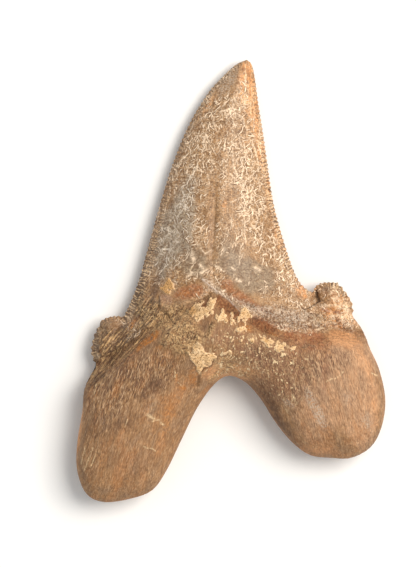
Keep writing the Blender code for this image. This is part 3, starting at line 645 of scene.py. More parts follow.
# relief: how far each point is moved along its normal, in mm
relief = {
    "enamelWaves": 0.035,    # slow unevenness of the crown
    "enamelGrain": 0.015,
    "serrationGroove": 0.22,
    "ribHeight": 0.05,
    "crustHeight": 0.30,
    "plateHeight": 0.16,
    "sandGrains": 0.07,
    "rootFibres": 0.04,
    "rootPits": 0.07,
    "rootRidges": 0.10,
    "neckWrinkles": 0.07,
    "neckLumps": 0.15,
    "strandHeight": 0.22,
    "cuspletFolds": 0.13,
    "rubbleLumps": 0.10,
    "tipFacet": 0.11,
    "foldDepth": 0.40,
    "lipHeight": 0.10,
    "strokeHeight": 0.05,    # the pale scratches' crumbly filling, and the chips'
    "crackWidth": 0.20,      # half of it
    "forms": [  # broad hollows and swellings of the neck: (x, y, across, along, turn, height)
        (-0.9, -4.5, 2.0, 1.0, -34, -0.42), (6.2, -8.2, 2.2, 1.1, -26, -0.42),
        (13.9, -8.4, 1.6, 0.45, -16, -0.32), (13.6, -10.6, 5.0, 0.8, -4, 0.22),
        (20.4, -11.4, 3.0, 0.9, -18, 0.18), (-14.2, -10.6, 2.4, 0.7, 42, 0.30),
        (-16.6, -13.4, 1.8, 0.8, 36, 0.18), (-4.6, -8.6, 1.1, 1.5, -20, -0.30),
        (-19.8, -11.4, 3.6, 0.7, 48, -0.32), (-23.6, -15.6, 3.4, 0.8, 52, -0.28),
        (19.3, -5.7, 1.4, 0.42, -10, -0.40), (18.4, -4.5, 1.8, 0.34, -2, 0.26),
        (20.8, -5.2, 0.9, 0.34, -42, 0.26), (18.35, -1.8, 0.42, 1.4, -18, 0.28),
        (16.9, -2.4, 0.7, 1.3, 8, -0.26), (19.7, -1.8, 0.6, 1.1, -20, -0.20),
        (20.6, -2.6, 0.35, 0.9, 40, 0.22), (21.6, -4.0, 0.35, 0.9, 60, 0.20),
        (14.6, -5.6, 0.8, 0.4, 0, -0.26), (16.2, -8.7, 0.9, 0.3, 10, 0.24),
        (-10.6, -8.0, 2.4, 0.8, -50, -0.20), (-8.4, -10.6, 1.6, 1.2, 0, 0.20),
        (2.2, -9.6, 2.4, 0.9, -30, 0.16), (-22.8, -12.4, 1.3, 0.6, 60, -0.30),
        (-3.0, 10.5, 0.5, 5.2, -2, -0.24), (-12.0, 3.8, 0.5, 5.0, -18, -0.20),
        (3.0, 12.0, 1.2, 9.0, 4, 0.10), (-8.4, 10.0, 1.4, 9.0, -8, 0.08),
    ],
}


def ridged(points, size, seed, stretch=(1, 1, 1)):
    # the same lumps with creases between them
    return 1 - 3.2 * np.abs(grain(points, size, seed, stretch))


def fibreWay(points):
    # coordinates in mm across and along the root's fibres, which run down each lobe
    x, y = points[:, 0], points[:, 1]
    lean = np.where(x < 0, 0.30, -0.24) * smooth(0, 8, np.abs(x))
    return np.column_stack([x - lean * (y + 12), y + lean * x, points[:, 2]])


def strandWay(points, turn=48):
    # and of the torn strands on the left shoulder
    a = math.radians(turn)
    x, y = points[:, 0], points[:, 1]
    across, along = y * math.cos(a) - x * math.sin(a), x * math.cos(a) + y * math.sin(a)
    return np.column_stack([across, along, points[:, 2]])


ways = {
    "fibreWay": fibreWay(points),
    "strandWay": strandWay(points),
    "ribWay": np.column_stack([alongEdge, toEdge, np.zeros(len(points))]),
}


def reliefHeight(points):
    fibres, strands, ribs = ways["fibreWay"], ways["strandWay"], ways["ribWay"]
    root, away = masks["root"], smooth(0.0, 0.3, toEdge)
    crown = 1 - root
    fibrous = 0.35 + masks["fibrous"]
    height = relief["enamelWaves"] * crown * grain(points, 3.2, 1)
    height += relief["enamelGrain"] * crown * grain(points, 0.7, 2)
    height -= relief["serrationGroove"] * grooves * away
    height += relief["ribHeight"] * masks["ribs"] * away * grain(ribs, 0.30, 16, (1, 5, 1))
    for x, y, across, along, turn, rise in relief["forms"]:
        height += rise * spot(points, x, y, across, along, turn) * inner
    for depth, line in places["cracks"]:
        height -= depth * stroke(line, relief["crackWidth"], 0.2)
    height += relief["lipHeight"] * masks["lip"] - relief["foldDepth"] * masks["fold"]
    height += relief["strokeHeight"] * (masks["stroke"] + masks["mark"])
    # the worn facet left of the ridge that runs down from the tip
    ridgeX, ridgeY = zip(*places["tipRidge"])
    left = np.interp(points[:, 1], ridgeY, ridgeX) - points[:, 0]
    facet = smooth(-0.1, 1.3, left) * smooth(0, 1.0, toEdge) * smooth(29, 34, points[:, 1]) * inner
    height -= relief["tipFacet"] * facet
    lumps = 0.8 * grain(fibres, 0.75, 5, (1, 6, 1)) + grain(fibres, 1.4, 6, (1, 5, 1))
    height += relief["rootFibres"] * root * fibrous * lumps
    pits = smooth(0.28, 0.55, grain(points, 0.6, 7)) + 0.5 * smooth(0.3, 0.6, grain(points, 1.3, 8))
    height -= relief["rootPits"] * root * pits
    lumps = grain(points, 0.9, 11) + 0.5 * grain(points, 0.5, 12) + 0.3
    height += relief["sandGrains"] * masks["sand"] * lumps
    height += relief["rootRidges"] * root * grain(fibres, 2.2, 25, (1, 8, 1)) * smooth(1.0, 4.0, rootward)
    lumps = ridged(points, 1.5, 13) + 0.7 * ridged(points, 0.8, 17)
    height += relief["neckWrinkles"] * masks["neck"] * lumps
    lumpy = np.clip(masks["sand"] + 0.6 * masks["neck"] * inner, 0, 1)
    lumps = grain(points, 1.9, 23) + 0.5 * ridged(strands, 1.2, 24, (1, 2.5, 1))
    height += relief["neckLumps"] * lumpy * lumps
    lumps = grain(strands, 0.42, 18, (1, 6, 1)) + 0.5 * grain(strands, 0.9, 19, (1, 4, 1))
    height += relief["strandHeight"] * masks["strands"] * lumps
    lumps = ridged(ribs, 1.3, 14, (1, 3, 1)) + 0.6 * ridged(points, 1.5, 20)
    height += relief["cuspletFolds"] * cusplets * away * lumps
    lumps = ridged(points, 1.2, 26) + 0.6 * ridged(points, 0.7, 27) - 0.5
    height += relief["rubbleLumps"] * masks["rubble"] * lumps
    height += relief["plateHeight"] * masks["plate"] * (1 + 0.5 * grain(points, 0.7, 22))
    height += relief["crustHeight"] * masks["crust"] * (0.8 + 0.6 * grain(points, 0.6, 15))
    return np.where(rimMask, 0.0, height)


moved = points + normals * reliefHeight(points)[:, None]
moved[:, 2] = np.maximum(moved[:, 2], 0.0)  # nothing goes below the floor it lies on
for v, place in zip(bm.verts, moved):
    v.co = Vector(place) * mm
print("relief done")


def makeTooth():
    data = bpy.data.meshes.new("fossilTooth")
    bm.to_mesh(data)
    bm.free()
    for name, values in masks.items():
        attribute = data.attributes.new(name, "FLOAT", "POINT")
        attribute.data.foreach_set("value", np.asarray(values, np.float32))
    for name, values in ways.items():
        attribute = data.attributes.new(name, "FLOAT_VECTOR", "POINT")
        attribute.data.foreach_set("vector", np.asarray(values, np.float32).ravel())
    data.shade_smooth()
    data.set_sharp_from_angle(angle=math.radians(60))
    tooth = bpy.data.objects.new("fossil_tooth", data)
    bpy.context.scene.collection.objects.link(tooth)
    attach(tooth, "root")
    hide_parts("tooth")
    return tooth


tooth = makeTooth()


def hexColour(text):
    # an sRGB hex colour as linear RGBA
    parts = [int(text[i:i + 2], 16) / 255 for i in (1, 3, 5)]
    return [p / 12.92 if p <= 0.04045 else ((p + 0.055) / 1.055) ** 2.4 for p in parts] + [1.0]


def addNode(tree, kind, inputs=None, output=0, **settings):
    # one node with its settings and its input values or links. It gives the output that is wanted from the
    # node, or the node itself where it has none
    made = tree.nodes.new("ShaderNode" + kind)
    for name, value in settings.items():
        setattr(made, name, value)
    for name, value in (inputs or {}).items():
        if isinstance(value, bpy.types.NodeSocket):
            tree.links.new(value, made.inputs[name])
        else:
            made.inputs[name].default_value = hexColour(value) if isinstance(value, str) else value
    return made.outputs[output] if len(made.outputs) else made


# fossil enamel and root bone that lay in phosphate sand: the enamel keeps a dull silky polish under a net of
# pale etched scratches, the root is open-grained and nearly matt, and both are stained by iron
finish = {
    "enamel": "#a47b52",
    "enamelDeep": "#765433",
    "enamelPale": "#bd946a",
    "enamelHoney": "#a47b50",
    "enamelWarm": "#eca465",
    "enamelGrey": "#a1937f",
    "enamelOlive": "#8d7c67",
    "enamelPink": "#a37a5e",
    "streak": "#f8d8ac",
    "haze": "#dcb990",
    "scratch": "#fde0bf",
    "scratchGrey": "#e6d6c2",
    "scratchRim": "#75512f",
    "rib": "#eac79b",
    "ribGap": "#644932",
    "lipDust": "#d3c0b1",
    "foldShade": "#523820",
    "cream": "#f6d8b4",
    "rubble": "#d8bfa6",
    "rubbleGap": "#8a674d",
    "bone": "#a0774f",
    "bonePink": "#c39570",
    "boneDeep": "#7f5c3e",
    "boneOrange": "#b67c4b",
    "boneGrey": "#84705c",
    "boneGlow": "#dfa26f",
    "fibrePale": "#d6b08a",
    "fibreGap": "#6d4d3a",
    "strandPale": "#dcb27c",
    "strandGap": "#63462b",
    "rust": "#9b5e37",
    "amber": "#bd742c",
    "recessBrownAndShade": "#88532f",
    "darkStainAndShade": "#65462f",
    "umber": "#92684e",
    "bloom": "#c0ac97",
    "creviceShade": "#4d3422",
    "sand": "#c79b69",
    "sandPale": "#efc994",
    "sandGap": "#7e583a",
    "crust": "#f0c590",
    "crustOchre": "#cf9c60",
    "crustRim": "#fdd9ab",
    "crustHole": "#8a6236",
    "fleck": "#f3d4a6",
    "enamelRoughness": 0.50,
    "rootRoughness": 0.74,
    "rustPolish": 0.22,      # how much smoother the iron's glaze makes the surface
    "ior": 1.55,
    "specular": 0.35,
    "bumpDistance": 0.14,    # mm
    "bumpStrength": 0.9,
    "barPitch": 0.58,        # mm
    "barCrowding": 14.0,     # how far a noise pushes the bars along the edge, in radians of their wave
    "barContrast": (0.02, 0.24),  # least and most, as a noise has it
    "barredContrast": 0.08,       # and what the barred stretches add to it
    "grainSize": 0.30,       # mm, real sand grains here are 0.1 to 0.3 mm, drawn coarser so that they show
    "fibreWidth": 0.22,      # mm, real fibres are near 0.1 mm, drawn wider so that they show
}

# the noises, each by its coordinates, the stretch of these, its size in mm, its detail and its distortion
noises = {
    "clouds": ("place", (1, 1, 1), 5.0, 2.0, 0.0),
    "drifts": ("place", (1, 0.42, 1), 2.4, 2.0, 0.4),
    "mottle": ("place", (1, 1, 1), 1.1, 3.0, 0.3),
    "broken": ("place", (1, 1, 1), 0.85, 4.0, 0.8),
    "creviceShade": ("place", (1, 1, 1), 2.0, 2.0, 0.6),
    "speckle": ("place", (1, 1, 1), finish["grainSize"], 2.0, 0.4),
    "grit": ("place", (1.03, 0.97, 1), finish["grainSize"], 1.0, 0.0),  # not quite in step with the speckle
    "bundles": ("fibreWay", (1.1, 0.22, 1), 2.2, 2.0, 0.5),
    "fibres": ("fibreWay", (1, 0.18, 0.2), finish["fibreWidth"] * 0.9, 2.0, 0.7),
    "fibresToo": ("fibreWay", (1, 0.2, 0.3), finish["fibreWidth"] * 3.0, 2.5, 0.8),
    "hairs": ("fibreWay", (1, 0.24, 1), 0.20, 1.0, 0.3),
    "strandGrain": ("strandWay", (1, 0.11, 1), finish["fibreWidth"] * 1.5, 1.5, 0.6),
    "strandBundles": ("strandWay", (1, 0.14, 1), 0.9, 2.0, 0.6),
    "unevenBars": ("ribWay", (1, 0.5, 1), 0.9, 1.0, 0.3),
}

scratching = {
    "width": 0.20,            # mm
    "core": (0.25, 0.60),     # how far from its middle a scratch is full and gone, as shares of the width
    "rim": (0.60, 1.60),      # and its dark rim
    "shortest": 0.12,         # half length of the shortest, as a share of the longest
    "spare": 0.38,            # and what the longest adds to that
    "taper": (-0.10, 0.06),   # mm from its end over which a scratch fades out
    "lean": 0.25,             # radians by which they lean from the tooth's length
    "warp": 0.9,              # mm that a noise bends them by
    "warpSize": 1.3,          # mm
    "drift": (0.42, 0.56),    # levels of a broad noise between which they come to crowd
    "crowded": (0.10, 0.85),  # how much so, at least and at most
    "crowding": {"scribble": 1.0, "olive": -0.35, "bare": -0.70, "root": -1.2},  # more of them, and fewer
    # each lot as (name, width, cell, longest, bend, turn, spread, amount), the width as a share of the one
    # above, the cell that holds one scratch and the longest in mm, the turn of the cells in radians
    "lots": [
        ("bold", 1.0, 1.5, 2.4, 0.5, 0.3, 0.30, 0.85),
        ("bold", 1.0, 0.95, 1.4, 0.9, 1.1, 1.0, 0.75),
        ("bold", 1.2, 2.6, 4.2, 0.3, 2.0, 0.24, 0.7),
        ("bold", 0.9, 0.8, 1.2, 0.8, 4.1, 0.4, 0.6),
        ("fine", 0.8, 0.66, 0.9, 1.2, 2.9, 1.0, 0.95),
        ("fine", 0.8, 0.52, 0.6, 1.2, 5.2, 1.0, 0.95),
        ("flecks", 2.2, 1.5, 0.9, 0.4, 3.7, 1.0, 0.55),
        ("flecks", 1.3, 0.8, 0.5, 0.4, 0.8, 0.3, 0.75),
    ],
    # the branching net where they run together, as (cell in mm, turn, the noise that breaks it, from, to)
    "nets": [(1.45, 0.4, "mottle", 0.42, 0.56), (0.899, 2.1, "broken", 0.44, 0.60)],
    "thread": (0.03, 0.15),   # mm from its middle at which a thread of the net is full and gone
}

# coats of colour, one over the other: (where, pattern, from, to, amount, colour). A coat is absent before the
# pattern reaches "from" and full past "to". Three numbers for a colour shade what lies below instead
enamelCoats = [
    (None, "clouds", 0.42, 0.60, 0.5, "enamelPale"),
    (None, "drifts", 0.48, 0.38, 0.4, "enamelHoney"),
    (None, "grey", 0.0, 1.0, 0.8, "enamelGrey"),
    (None, "warm", 0.0, 1.0, 0.85, "enamelWarm"),
    (None, "olive", 0.0, 1.0, 0.75, "enamelOlive"),
    (None, "mottle", 0.52, 0.36, 0.5, "enamelDeep"),
    ("warm", "broken", 0.50, 0.38, 0.4, "rust"),
    (None, "crowding", 0.5, 1.0, 0.16, "haze"),
    ("warm", "fibresToo", 0.50, 0.60, 0.65, "streak"),
    ("plate", "speckle", 0.2, 0.4, 0.8, "enamelPink"),
]
boneCoats = [
    (None, "pink", 0.0, 1.0, 0.75, "bonePink"),
    (None, "bundles", 0.50, 0.62, 0.45, "boneOrange"),
    (None, "bundles", 0.47, 0.36, 0.28, "boneGrey"),
    (None, "clouds", 0.55, 0.38, 0.30, "boneDeep"),
    (None, "broken", 0.46, 0.34, 0.45, "boneDeep"),
    (None, "fibresToo", 0.50, 0.36, 0.18, "boneDeep"),
    (None, "fibresToo", 0.53, 0.64, 0.18, "fibrePale"),
    (None, "fibres", 0.52, 0.64, 0.26, "fibrePale"),
    (None, "fibres", 0.48, 0.36, 0.24, "fibreGap"),
    ("fibrous", "fibresToo", 0.50, 0.38, 0.2, "fibreGap"),
    ("fibrous", "fibres", 0.49, 0.38, 0.8, "fibreGap"),
    ("fibrous", "fibres", 0.54, 0.66, 0.65, "fibrePale"),
    ("neck", "mottle", 0.3, 0.6, 0.4, "recessBrownAndShade"),
]
stainCoats = [
    ("umber", "broken", 0.30, 0.56, 0.6, "umber"),
    ("rust", "mottle", 0.20, 0.50, 0.8, "rust"),
    ("rust", "broken", 0.52, 0.64, 0.25, "boneGlow"),
    ("amber", "broken", 0.34, 0.52, 0.9, "amber"),
    # painted light as well as bright orange bone
    ("glow", "mottle", 0.15, 0.45, 0.8, "boneGlow"),
    # a chalky film, and painted light on the tip's worn facet
    ("bloom", "speckle", 0.36, 0.60, 0.75, "bloom"),
    # grey-brown stains, and painted shade in grooves, hollows and on the lobes' turned-away edges
    ("darkStainAndShade", "mottle", 0.25, 0.55, 0.8, "darkStainAndShade"),
    # the hollows' red-brown darkened as painted shade, with dark crevice lines in them as painted shade
    ("recessBrownAndShade", "mottle", 0.05, 0.45, 0.92, "recessBrownAndShade"),
    ("recessBrownAndShade", "broken", 0.52, 0.64, 0.2, "boneGlow"),
    ("recessBrownAndShade", "broken", 0.45, 0.36, 0.5, "creviceShade"),
    ("sand", "mottle", 0.36, 0.54, 0.85, "sand"),
    ("sand", "broken", 0.46, 0.36, 0.35, "sandGap"),
    ("sand", "broken", 0.54, 0.64, 0.6, "sandPale"),
    ("sand", "speckle", 0.46, 0.36, 0.45, "sandGap"),
    ("sand", "speckle", 0.55, 0.66, 0.6, "sandPale"),
    ("strands", "strandBundles", 0.50, 0.36, 0.45, "strandGap"),
    ("strands", "strandBundles", 0.53, 0.64, 0.4, "sand"),
    ("strands", "strandGrain", 0.49, 0.40, 0.8, "strandGap"),
    ("strands", "strandGrain", 0.54, 0.61, 0.8, "strandPale"),
    ("rubble", "clouds", 0.50, 0.60, 0.3, "enamelGrey"),
    ("rubble", "broken", 0.46, 0.37, 0.35, "rubbleGap"),
    ("rubble", "broken", 0.51, 0.62, 0.45, "rubble"),
    ("rubble", "speckle", 0.48, 0.39, 0.45, "rubbleGap"),
    ("rubble", "speckle", 0.53, 0.62, 0.5, "rubble"),
    ("amber", "broken", 0.40, 0.58, 0.5, "amber"),  # again, over the strands and the sand
    (None, "lip", 0.2, 0.9, 0.6, "lipDust"),
    (None, "crack", 0.1, 1.0, 0.75, "enamelDeep"),
    # painted shade in the valleys that run in from the serrations' notches
    (None, "notch", 0.1, 0.9, 0.5, "ribGap"),
    ("dusty", "broken", 0.46, 0.36, 0.6, "sandGap"),
    # dark lines as painted shade of crevices
    ("dusty", "creviceShadeLine", 0.030, 0.0, 0.65, "creviceShade"),
    # scratches, fine ones first
    ("etched", "fineRim", 0.2, 1.0, 0.30, "scratchRim"),
    ("etched", "fine", 0.1, 0.9, 0.5, "etching"),
    ("rubble", "fineRim", 0.2, 1.0, 0.3, "rubbleGap"),
    ("rubble", "fine", 0.1, 0.9, 0.4, "scratchGrey"),
    ("curled", "fine", 0.1, 0.9, 0.35, "sandPale"),
    ("sand", "fine", 0.1, 0.9, 0.55, "sandPale"),
    ("neck", "fine", 0.1, 0.9, 0.35, "sand"),
    ("clump", "broken", 0.47, 0.62, 0.24, "haze"),
    ("notRoot", "broken", 0.46, 0.36, 0.30, "enamelDeep"),
    ("crowding", "broken", 0.46, 0.36, 0.45, "enamelDeep"),
    ("crowding", "boldRim", 0.0, 1.0, 0.65, "scratchRim"),
    ("etched", "net", 0.1, 0.9, 0.30, "etching"),
    ("clump", "net", 0.1, 0.8, 0.8, "etching"),
    ("stroke", "speckle", 0.30, 0.46, 0.8, "etching"),
    (None, "scratched", 0.0, 0.85, 0.92, "etching"),
    ("edged", "bars", 0.48, 0.34, 0.8, "ribGap"),
    ("edged", "bars", 0.55, 0.70, 0.9, "rib"),
    # painted shade in the fold under the blade's heel
    (None, "fold", 0.15, 0.9, 0.9, "foldShade"),
    ("cream", "broken", 0.38, 0.52, 0.7, "cream"),
    ("flecked", "flecks", 0.1, 0.5, 0.95, "fleck"),
    ("mark", "speckle", 0.32, 0.50, 0.85, "fleck"),
    # the finest grain, everywhere: round on the crown, drawn out along the fibres on the root
    ("grainy", "speckle", 0.49, 0.38, 0.45, (0.74, 0.70, 0.65)),
    ("grainy", "speckle", 0.53, 0.64, 0.5, (1.22, 1.2, 1.18)),
    ("grainy", "grit", 0.50, 0.35, 0.9, (0.62, 0.58, 0.54)),
    ("grainy", "grit", 0.54, 0.68, 0.65, (1.4, 1.37, 1.34)),
    ("root", "hairs", 0.50, 0.34, 0.65, (0.70, 0.65, 0.60)),
    ("root", "hairs", 0.54, 0.70, 0.6, (1.45, 1.4, 1.35)),
    # the crusts lie over everything
    # a painted highlight round each crust's rim
    (None, "crust", 0.05, 0.5, 1.0, "crustRim"),
    (None, "crust", 0.5, 1.0, 0.85, "crust"),
    ("crust", "mottle", 0.46, 0.38, 0.6, "crustRim"),
    ("crust", "ochre", 0.0, 1.0, 0.9, "crustOchre"),
    ("core", "mottle", 0.40, 0.54, 0.15, "crustOchre"),
    ("crust", "broken", 0.46, 0.36, 0.5, "crustOchre"),
    ("crust", "speckle", 0.45, 0.37, 0.8, "crustHole"),
    ("crust", "grit", 0.54, 0.70, 0.6, (1.3, 1.3, 1.3)),
]

# the fine bump, all added up: (where, pattern, height)
bumps = [
    ("root", "fibres", 0.9), ("fibrous", "fibres", 1.6), ("sand", "speckle", 2.0),
    ("strands", "strandGrain", 4.0), ("ribs", "bars", 1.0), ("crust", "speckle", 1.6), (None, "speckle", 0.5),
    (None, "scratched", 0.4), ("neck", "broken", 6.0), ("rubble", "broken", 5.0), ("sand", "broken", 6.0),
    ("root", "hairs", 0.5), ("root", "fibresToo", 1.5), ("strands", "strandBundles", 6.0),
    ("fibrous", "fibresToo", 2.0), ("flecked", "flecks", 0.8),
]


def noiseTones(tree, coords):
    tones = {}
    for name, (source, stretch, size, detail, bend) in noises.items():
        scaled = addNode(tree, "VectorMath", {0: coords[source], 1: tuple(s / size for s in stretch)},
                         operation="MULTIPLY")
        tones[name] = addNode(tree, "TexNoise", {"Vector": scaled, "Scale": 1.0, "Detail": detail,
                                                 "Distortion": bend})
    # thin lines where this noise passes its middle value, drawn dark as painted shade in crevices
    level = addNode(tree, "Math", {0: tones["creviceShade"], 1: 0.5}, operation="SUBTRACT")
    tones["creviceShadeLine"] = addNode(tree, "Math", {0: level}, operation="ABSOLUTE")
    return tones


def edgeBars(tree, part, ribWay):
    # bars across the cutting edges, one to each serration and one between, crowded and spread by a noise
    along = addNode(tree, "SeparateXYZ", {0: ribWay})
    phase = addNode(tree, "Math", {0: along, 1: math.tau / finish["barPitch"]}, operation="MULTIPLY")
    phase = addNode(tree, "Math", {0: part["unevenBars"], 1: finish["barCrowding"], 2: phase},
                    operation="MULTIPLY_ADD")
    wave = addNode(tree, "Math", {0: phase}, operation="SINE")
    least, most = finish["barContrast"]
    strength = addNode(tree, "MapRange", {0: part["mottle"], 1: 0.42, 2: 0.58, 3: least, 4: most})
    strength = addNode(tree, "Math", {0: part["barred"], 1: finish["barredContrast"], 2: strength},
                       operation="MULTIPLY_ADD")
    return addNode(tree, "Math", {0: wave, 1: strength, 2: part["speckle"]}, operation="MULTIPLY_ADD")


def scratchField(tree, place, width, cell, longest, bend, turn, spread, amount):
    # pale worm-like scratches, one in each cell of a random mosaic: their cores and, wider, their dark rims.
    # A spread of 1 lets them lie any way, and a smaller one keeps them nearer to the tooth's length
    turned = addNode(tree, "Mapping", {"Vector": place, "Rotation": (0, 0, turn),
                                       "Location": (turn * 31, cell * 57, 0)})
    mosaic = {"Vector": turned, "Scale": 1 / cell}
    centre = addNode(tree, "TexVoronoi", mosaic, "Position", voronoi_dimensions="2D")
    colour = addNode(tree, "TexVoronoi", mosaic, "Color", voronoi_dimensions="2D")
    chance = addNode(tree, "SeparateColor", {0: colour}).node.outputs
    offset = addNode(tree, "VectorMath", {0: turned, 1: centre}, operation="SUBTRACT")
    lengthwise = math.pi / 2 - turn + scratching["lean"]
    angle = addNode(tree, "Math", {0: chance[0], 1: math.tau * spread, 2: lengthwise - math.pi * spread},
                    operation="MULTIPLY_ADD")
    laid = addNode(tree, "VectorRotate", {"Vector": offset, "Angle": angle}, rotation_type="Z_AXIS")
    u, v = addNode(tree, "SeparateXYZ", {0: laid}).node.outputs[:2]
    curl = addNode(tree, "Math", {0: chance[1], 1: bend * 2, 2: -bend}, operation="MULTIPLY_ADD")
    square = addNode(tree, "Math", {0: u, 1: u}, operation="MULTIPLY")
    arc = addNode(tree, "Math", {0: square, 1: curl, 2: v}, operation="MULTIPLY_ADD")
    side = addNode(tree, "Math", {0: arc}, operation="ABSOLUTE")
    reach = addNode(tree, "Math", {0: chance[1], 1: longest * scratching["spare"],
                                   2: longest * scratching["shortest"]}, operation="MULTIPLY_ADD")
    length = addNode(tree, "Math", {0: u}, operation="ABSOLUTE")
    beyond = addNode(tree, "Math", {0: length, 1: reach}, operation="SUBTRACT")
    full, gone = scratching["taper"]
    within = addNode(tree, "MapRange", {0: beyond, 1: full, 2: gone, 3: 1.0, 4: 0.0})
    strength = addNode(tree, "MapRange", {0: chance[2], 1: amount, 2: amount - 0.5, 3: 0.0, 4: 1.0})
    shown = addNode(tree, "Math", {0: within, 1: strength}, operation="MULTIPLY")
    fields = []
    for near, far in (scratching["core"], scratching["rim"]):
        thin = addNode(tree, "MapRange", {0: side, 1: width * near, 2: width * far, 3: 1.0, 4: 0.0},
                       interpolation_type="SMOOTHSTEP")
        fields.append(addNode(tree, "Math", {0: thin, 1: shown}, operation="MULTIPLY"))
    return fields


def scratchFields(tree, part, place):
    low, high = scratching["drift"]
    least, most = scratching["crowded"]
    crowding = addNode(tree, "MapRange", {0: part["drifts"], 1: low, 2: high, 3: least, 4: most})
    for name, amount in scratching["crowding"].items():
        crowding = addNode(tree, "Math", {0: part[name], 1: amount, 2: crowding}, operation="MULTIPLY_ADD")
    crowding = addNode(tree, "Clamp", {0: crowding})
    warp = addNode(tree, "TexNoise", {"Vector": place, "Scale": 1 / scratching["warpSize"], "Detail": 1.0},
                   "Color")
    warp = addNode(tree, "VectorMath", {0: warp, 3: scratching["warp"]}, operation="SCALE")
    bent = addNode(tree, "VectorMath", {0: warp, 1: place}, operation="ADD")
    fields = {}
    for name, width, *rest in scratching["lots"]:
        core, rim = scratchField(tree, bent, width * scratching["width"], *rest)
        for key, made in ((name, core), (name + "Rim", rim)):
            if key in fields:
                made = addNode(tree, "Math", {0: fields[key], 1: made}, operation="MAXIMUM")
            fields[key] = made
    for cell, turn, breaker, low, high in scratching["nets"]:
        turned = addNode(tree, "Mapping", {"Vector": bent, "Rotation": (0, 0, turn),
                                           "Scale": (1.0, 0.8, 1.0)})
        away = addNode(tree, "TexVoronoi", {"Vector": turned, "Scale": 1 / cell}, "Distance",
                       voronoi_dimensions="2D", feature="DISTANCE_TO_EDGE")
        full, gone = (reach / cell for reach in scratching["thread"])
        thread = addNode(tree, "MapRange", {0: away, 1: full, 2: gone, 3: 1.0, 4: 0.0})
        whole = addNode(tree, "MapRange", {0: part[breaker], 1: low, 2: high})
        thread = addNode(tree, "Math", {0: thread, 1: whole}, operation="MULTIPLY")
        if "net" in fields:
            thread = addNode(tree, "Math", {0: fields["net"], 1: thread}, operation="MAXIMUM")
        fields["net"] = thread
    scratched = addNode(tree, "Math", {0: fields["bold"], 1: crowding}, operation="MULTIPLY")
    etching = addNode(tree, "Mix", {0: part["grey"], 6: finish["scratch"], 7: finish["scratchGrey"]}, 2,
                      data_type="RGBA")
    return {**fields, "crowding": crowding, "scratched": scratched, "etching": etching}


wear = {
    "smoothGrain": {"bare": 0.55, "olive": 0.6},  # how much of the finest grain is left on smooth enamel
    "stained": {"rust": -0.7, "olive": -0.7},     # what these take from the fine scratches
    "sparse": 0.45,      # how much of them is left where the bold ones don't crowd
    "leastEtched": 0.25,
    "faintBars": 0.22,   # how strong the bars are where the edge isn't barred
    "neckDust": 0.6,
}


def mixedRegions(tree, part):
    # where the finer coats lie, worked out from the masks
    notRoot = addNode(tree, "Math", {0: 1.0, 1: part["root"]}, operation="SUBTRACT")
    grainy = notRoot
    for name, kept in wear["smoothGrain"].items():
        share = addNode(tree, "MapRange", {0: part[name], 3: 1.0, 4: kept})
        grainy = addNode(tree, "Math", {0: grainy, 1: share}, operation="MULTIPLY")
    etched = addNode(tree, "Math", {0: notRoot, 1: part["bare"]}, operation="SUBTRACT")
    for name, amount in wear["stained"].items():
        etched = addNode(tree, "Math", {0: part[name], 1: amount, 2: etched}, operation="MULTIPLY_ADD")
    busy = addNode(tree, "MapRange", {0: part["crowding"], 3: wear["sparse"], 4: 1.0})
    for operation, value in (("MULTIPLY", busy), ("MAXIMUM", wear["leastEtched"]), ("MULTIPLY", notRoot)):
        etched = addNode(tree, "Math", {0: etched, 1: value}, operation=operation)
    curled = addNode(tree, "Math", {0: part["flecked"], 1: part["root"]}, operation="MULTIPLY")
    edged = addNode(tree, "Math", {0: part["ribs"], 1: notRoot}, operation="MULTIPLY")
    barred = addNode(tree, "MapRange", {0: part["barred"], 3: wear["faintBars"], 4: 1.0})
    edged = addNode(tree, "Math", {0: edged, 1: barred}, operation="MULTIPLY")
    dusty = addNode(tree, "Math", {0: part["neck"], 1: wear["neckDust"]}, operation="MULTIPLY")
    for name in ("sand", "strands", "rubble"):
        dusty = addNode(tree, "Math", {0: dusty, 1: part[name]}, operation="MAXIMUM")
    return {"notRoot": notRoot, "grainy": grainy, "etched": etched, "curled": curled, "edged": edged,
            "dusty": dusty}


def laidOver(tree, part, colour, coats):
    for where, pattern, low, high, amount, tone in coats:
        share = addNode(tree, "MapRange", {0: part[pattern], 1: low, 2: high, 3: 0.0, 4: amount},
                        interpolation_type="SMOOTHSTEP")
        if where:
            share = addNode(tree, "Math", {0: share, 1: part[where]}, operation="MULTIPLY")
        shades = isinstance(tone, tuple)
        over = (*tone, 1) if shades else finish.get(tone) or part[tone]
        colour = addNode(tree, "Mix", {0: share, 6: colour, 7: over}, 2, data_type="RGBA",
                         blend_type="MULTIPLY" if shades else "MIX")
    return colour


def bumpOf(tree, part):
    height = None
    for where, pattern, amount in bumps:
        rise = addNode(tree, "Math", {0: part[pattern], 1: amount}, operation="MULTIPLY")
        if where:
            rise = addNode(tree, "Math", {0: rise, 1: part[where]}, operation="MULTIPLY")
        height = addNode(tree, "Math", {0: height, 1: rise}, operation="ADD") if height else rise
    return addNode(tree, "Bump", {"Height": height, "Distance": finish["bumpDistance"] * mm,
                                  "Strength": finish["bumpStrength"]}, "Normal")


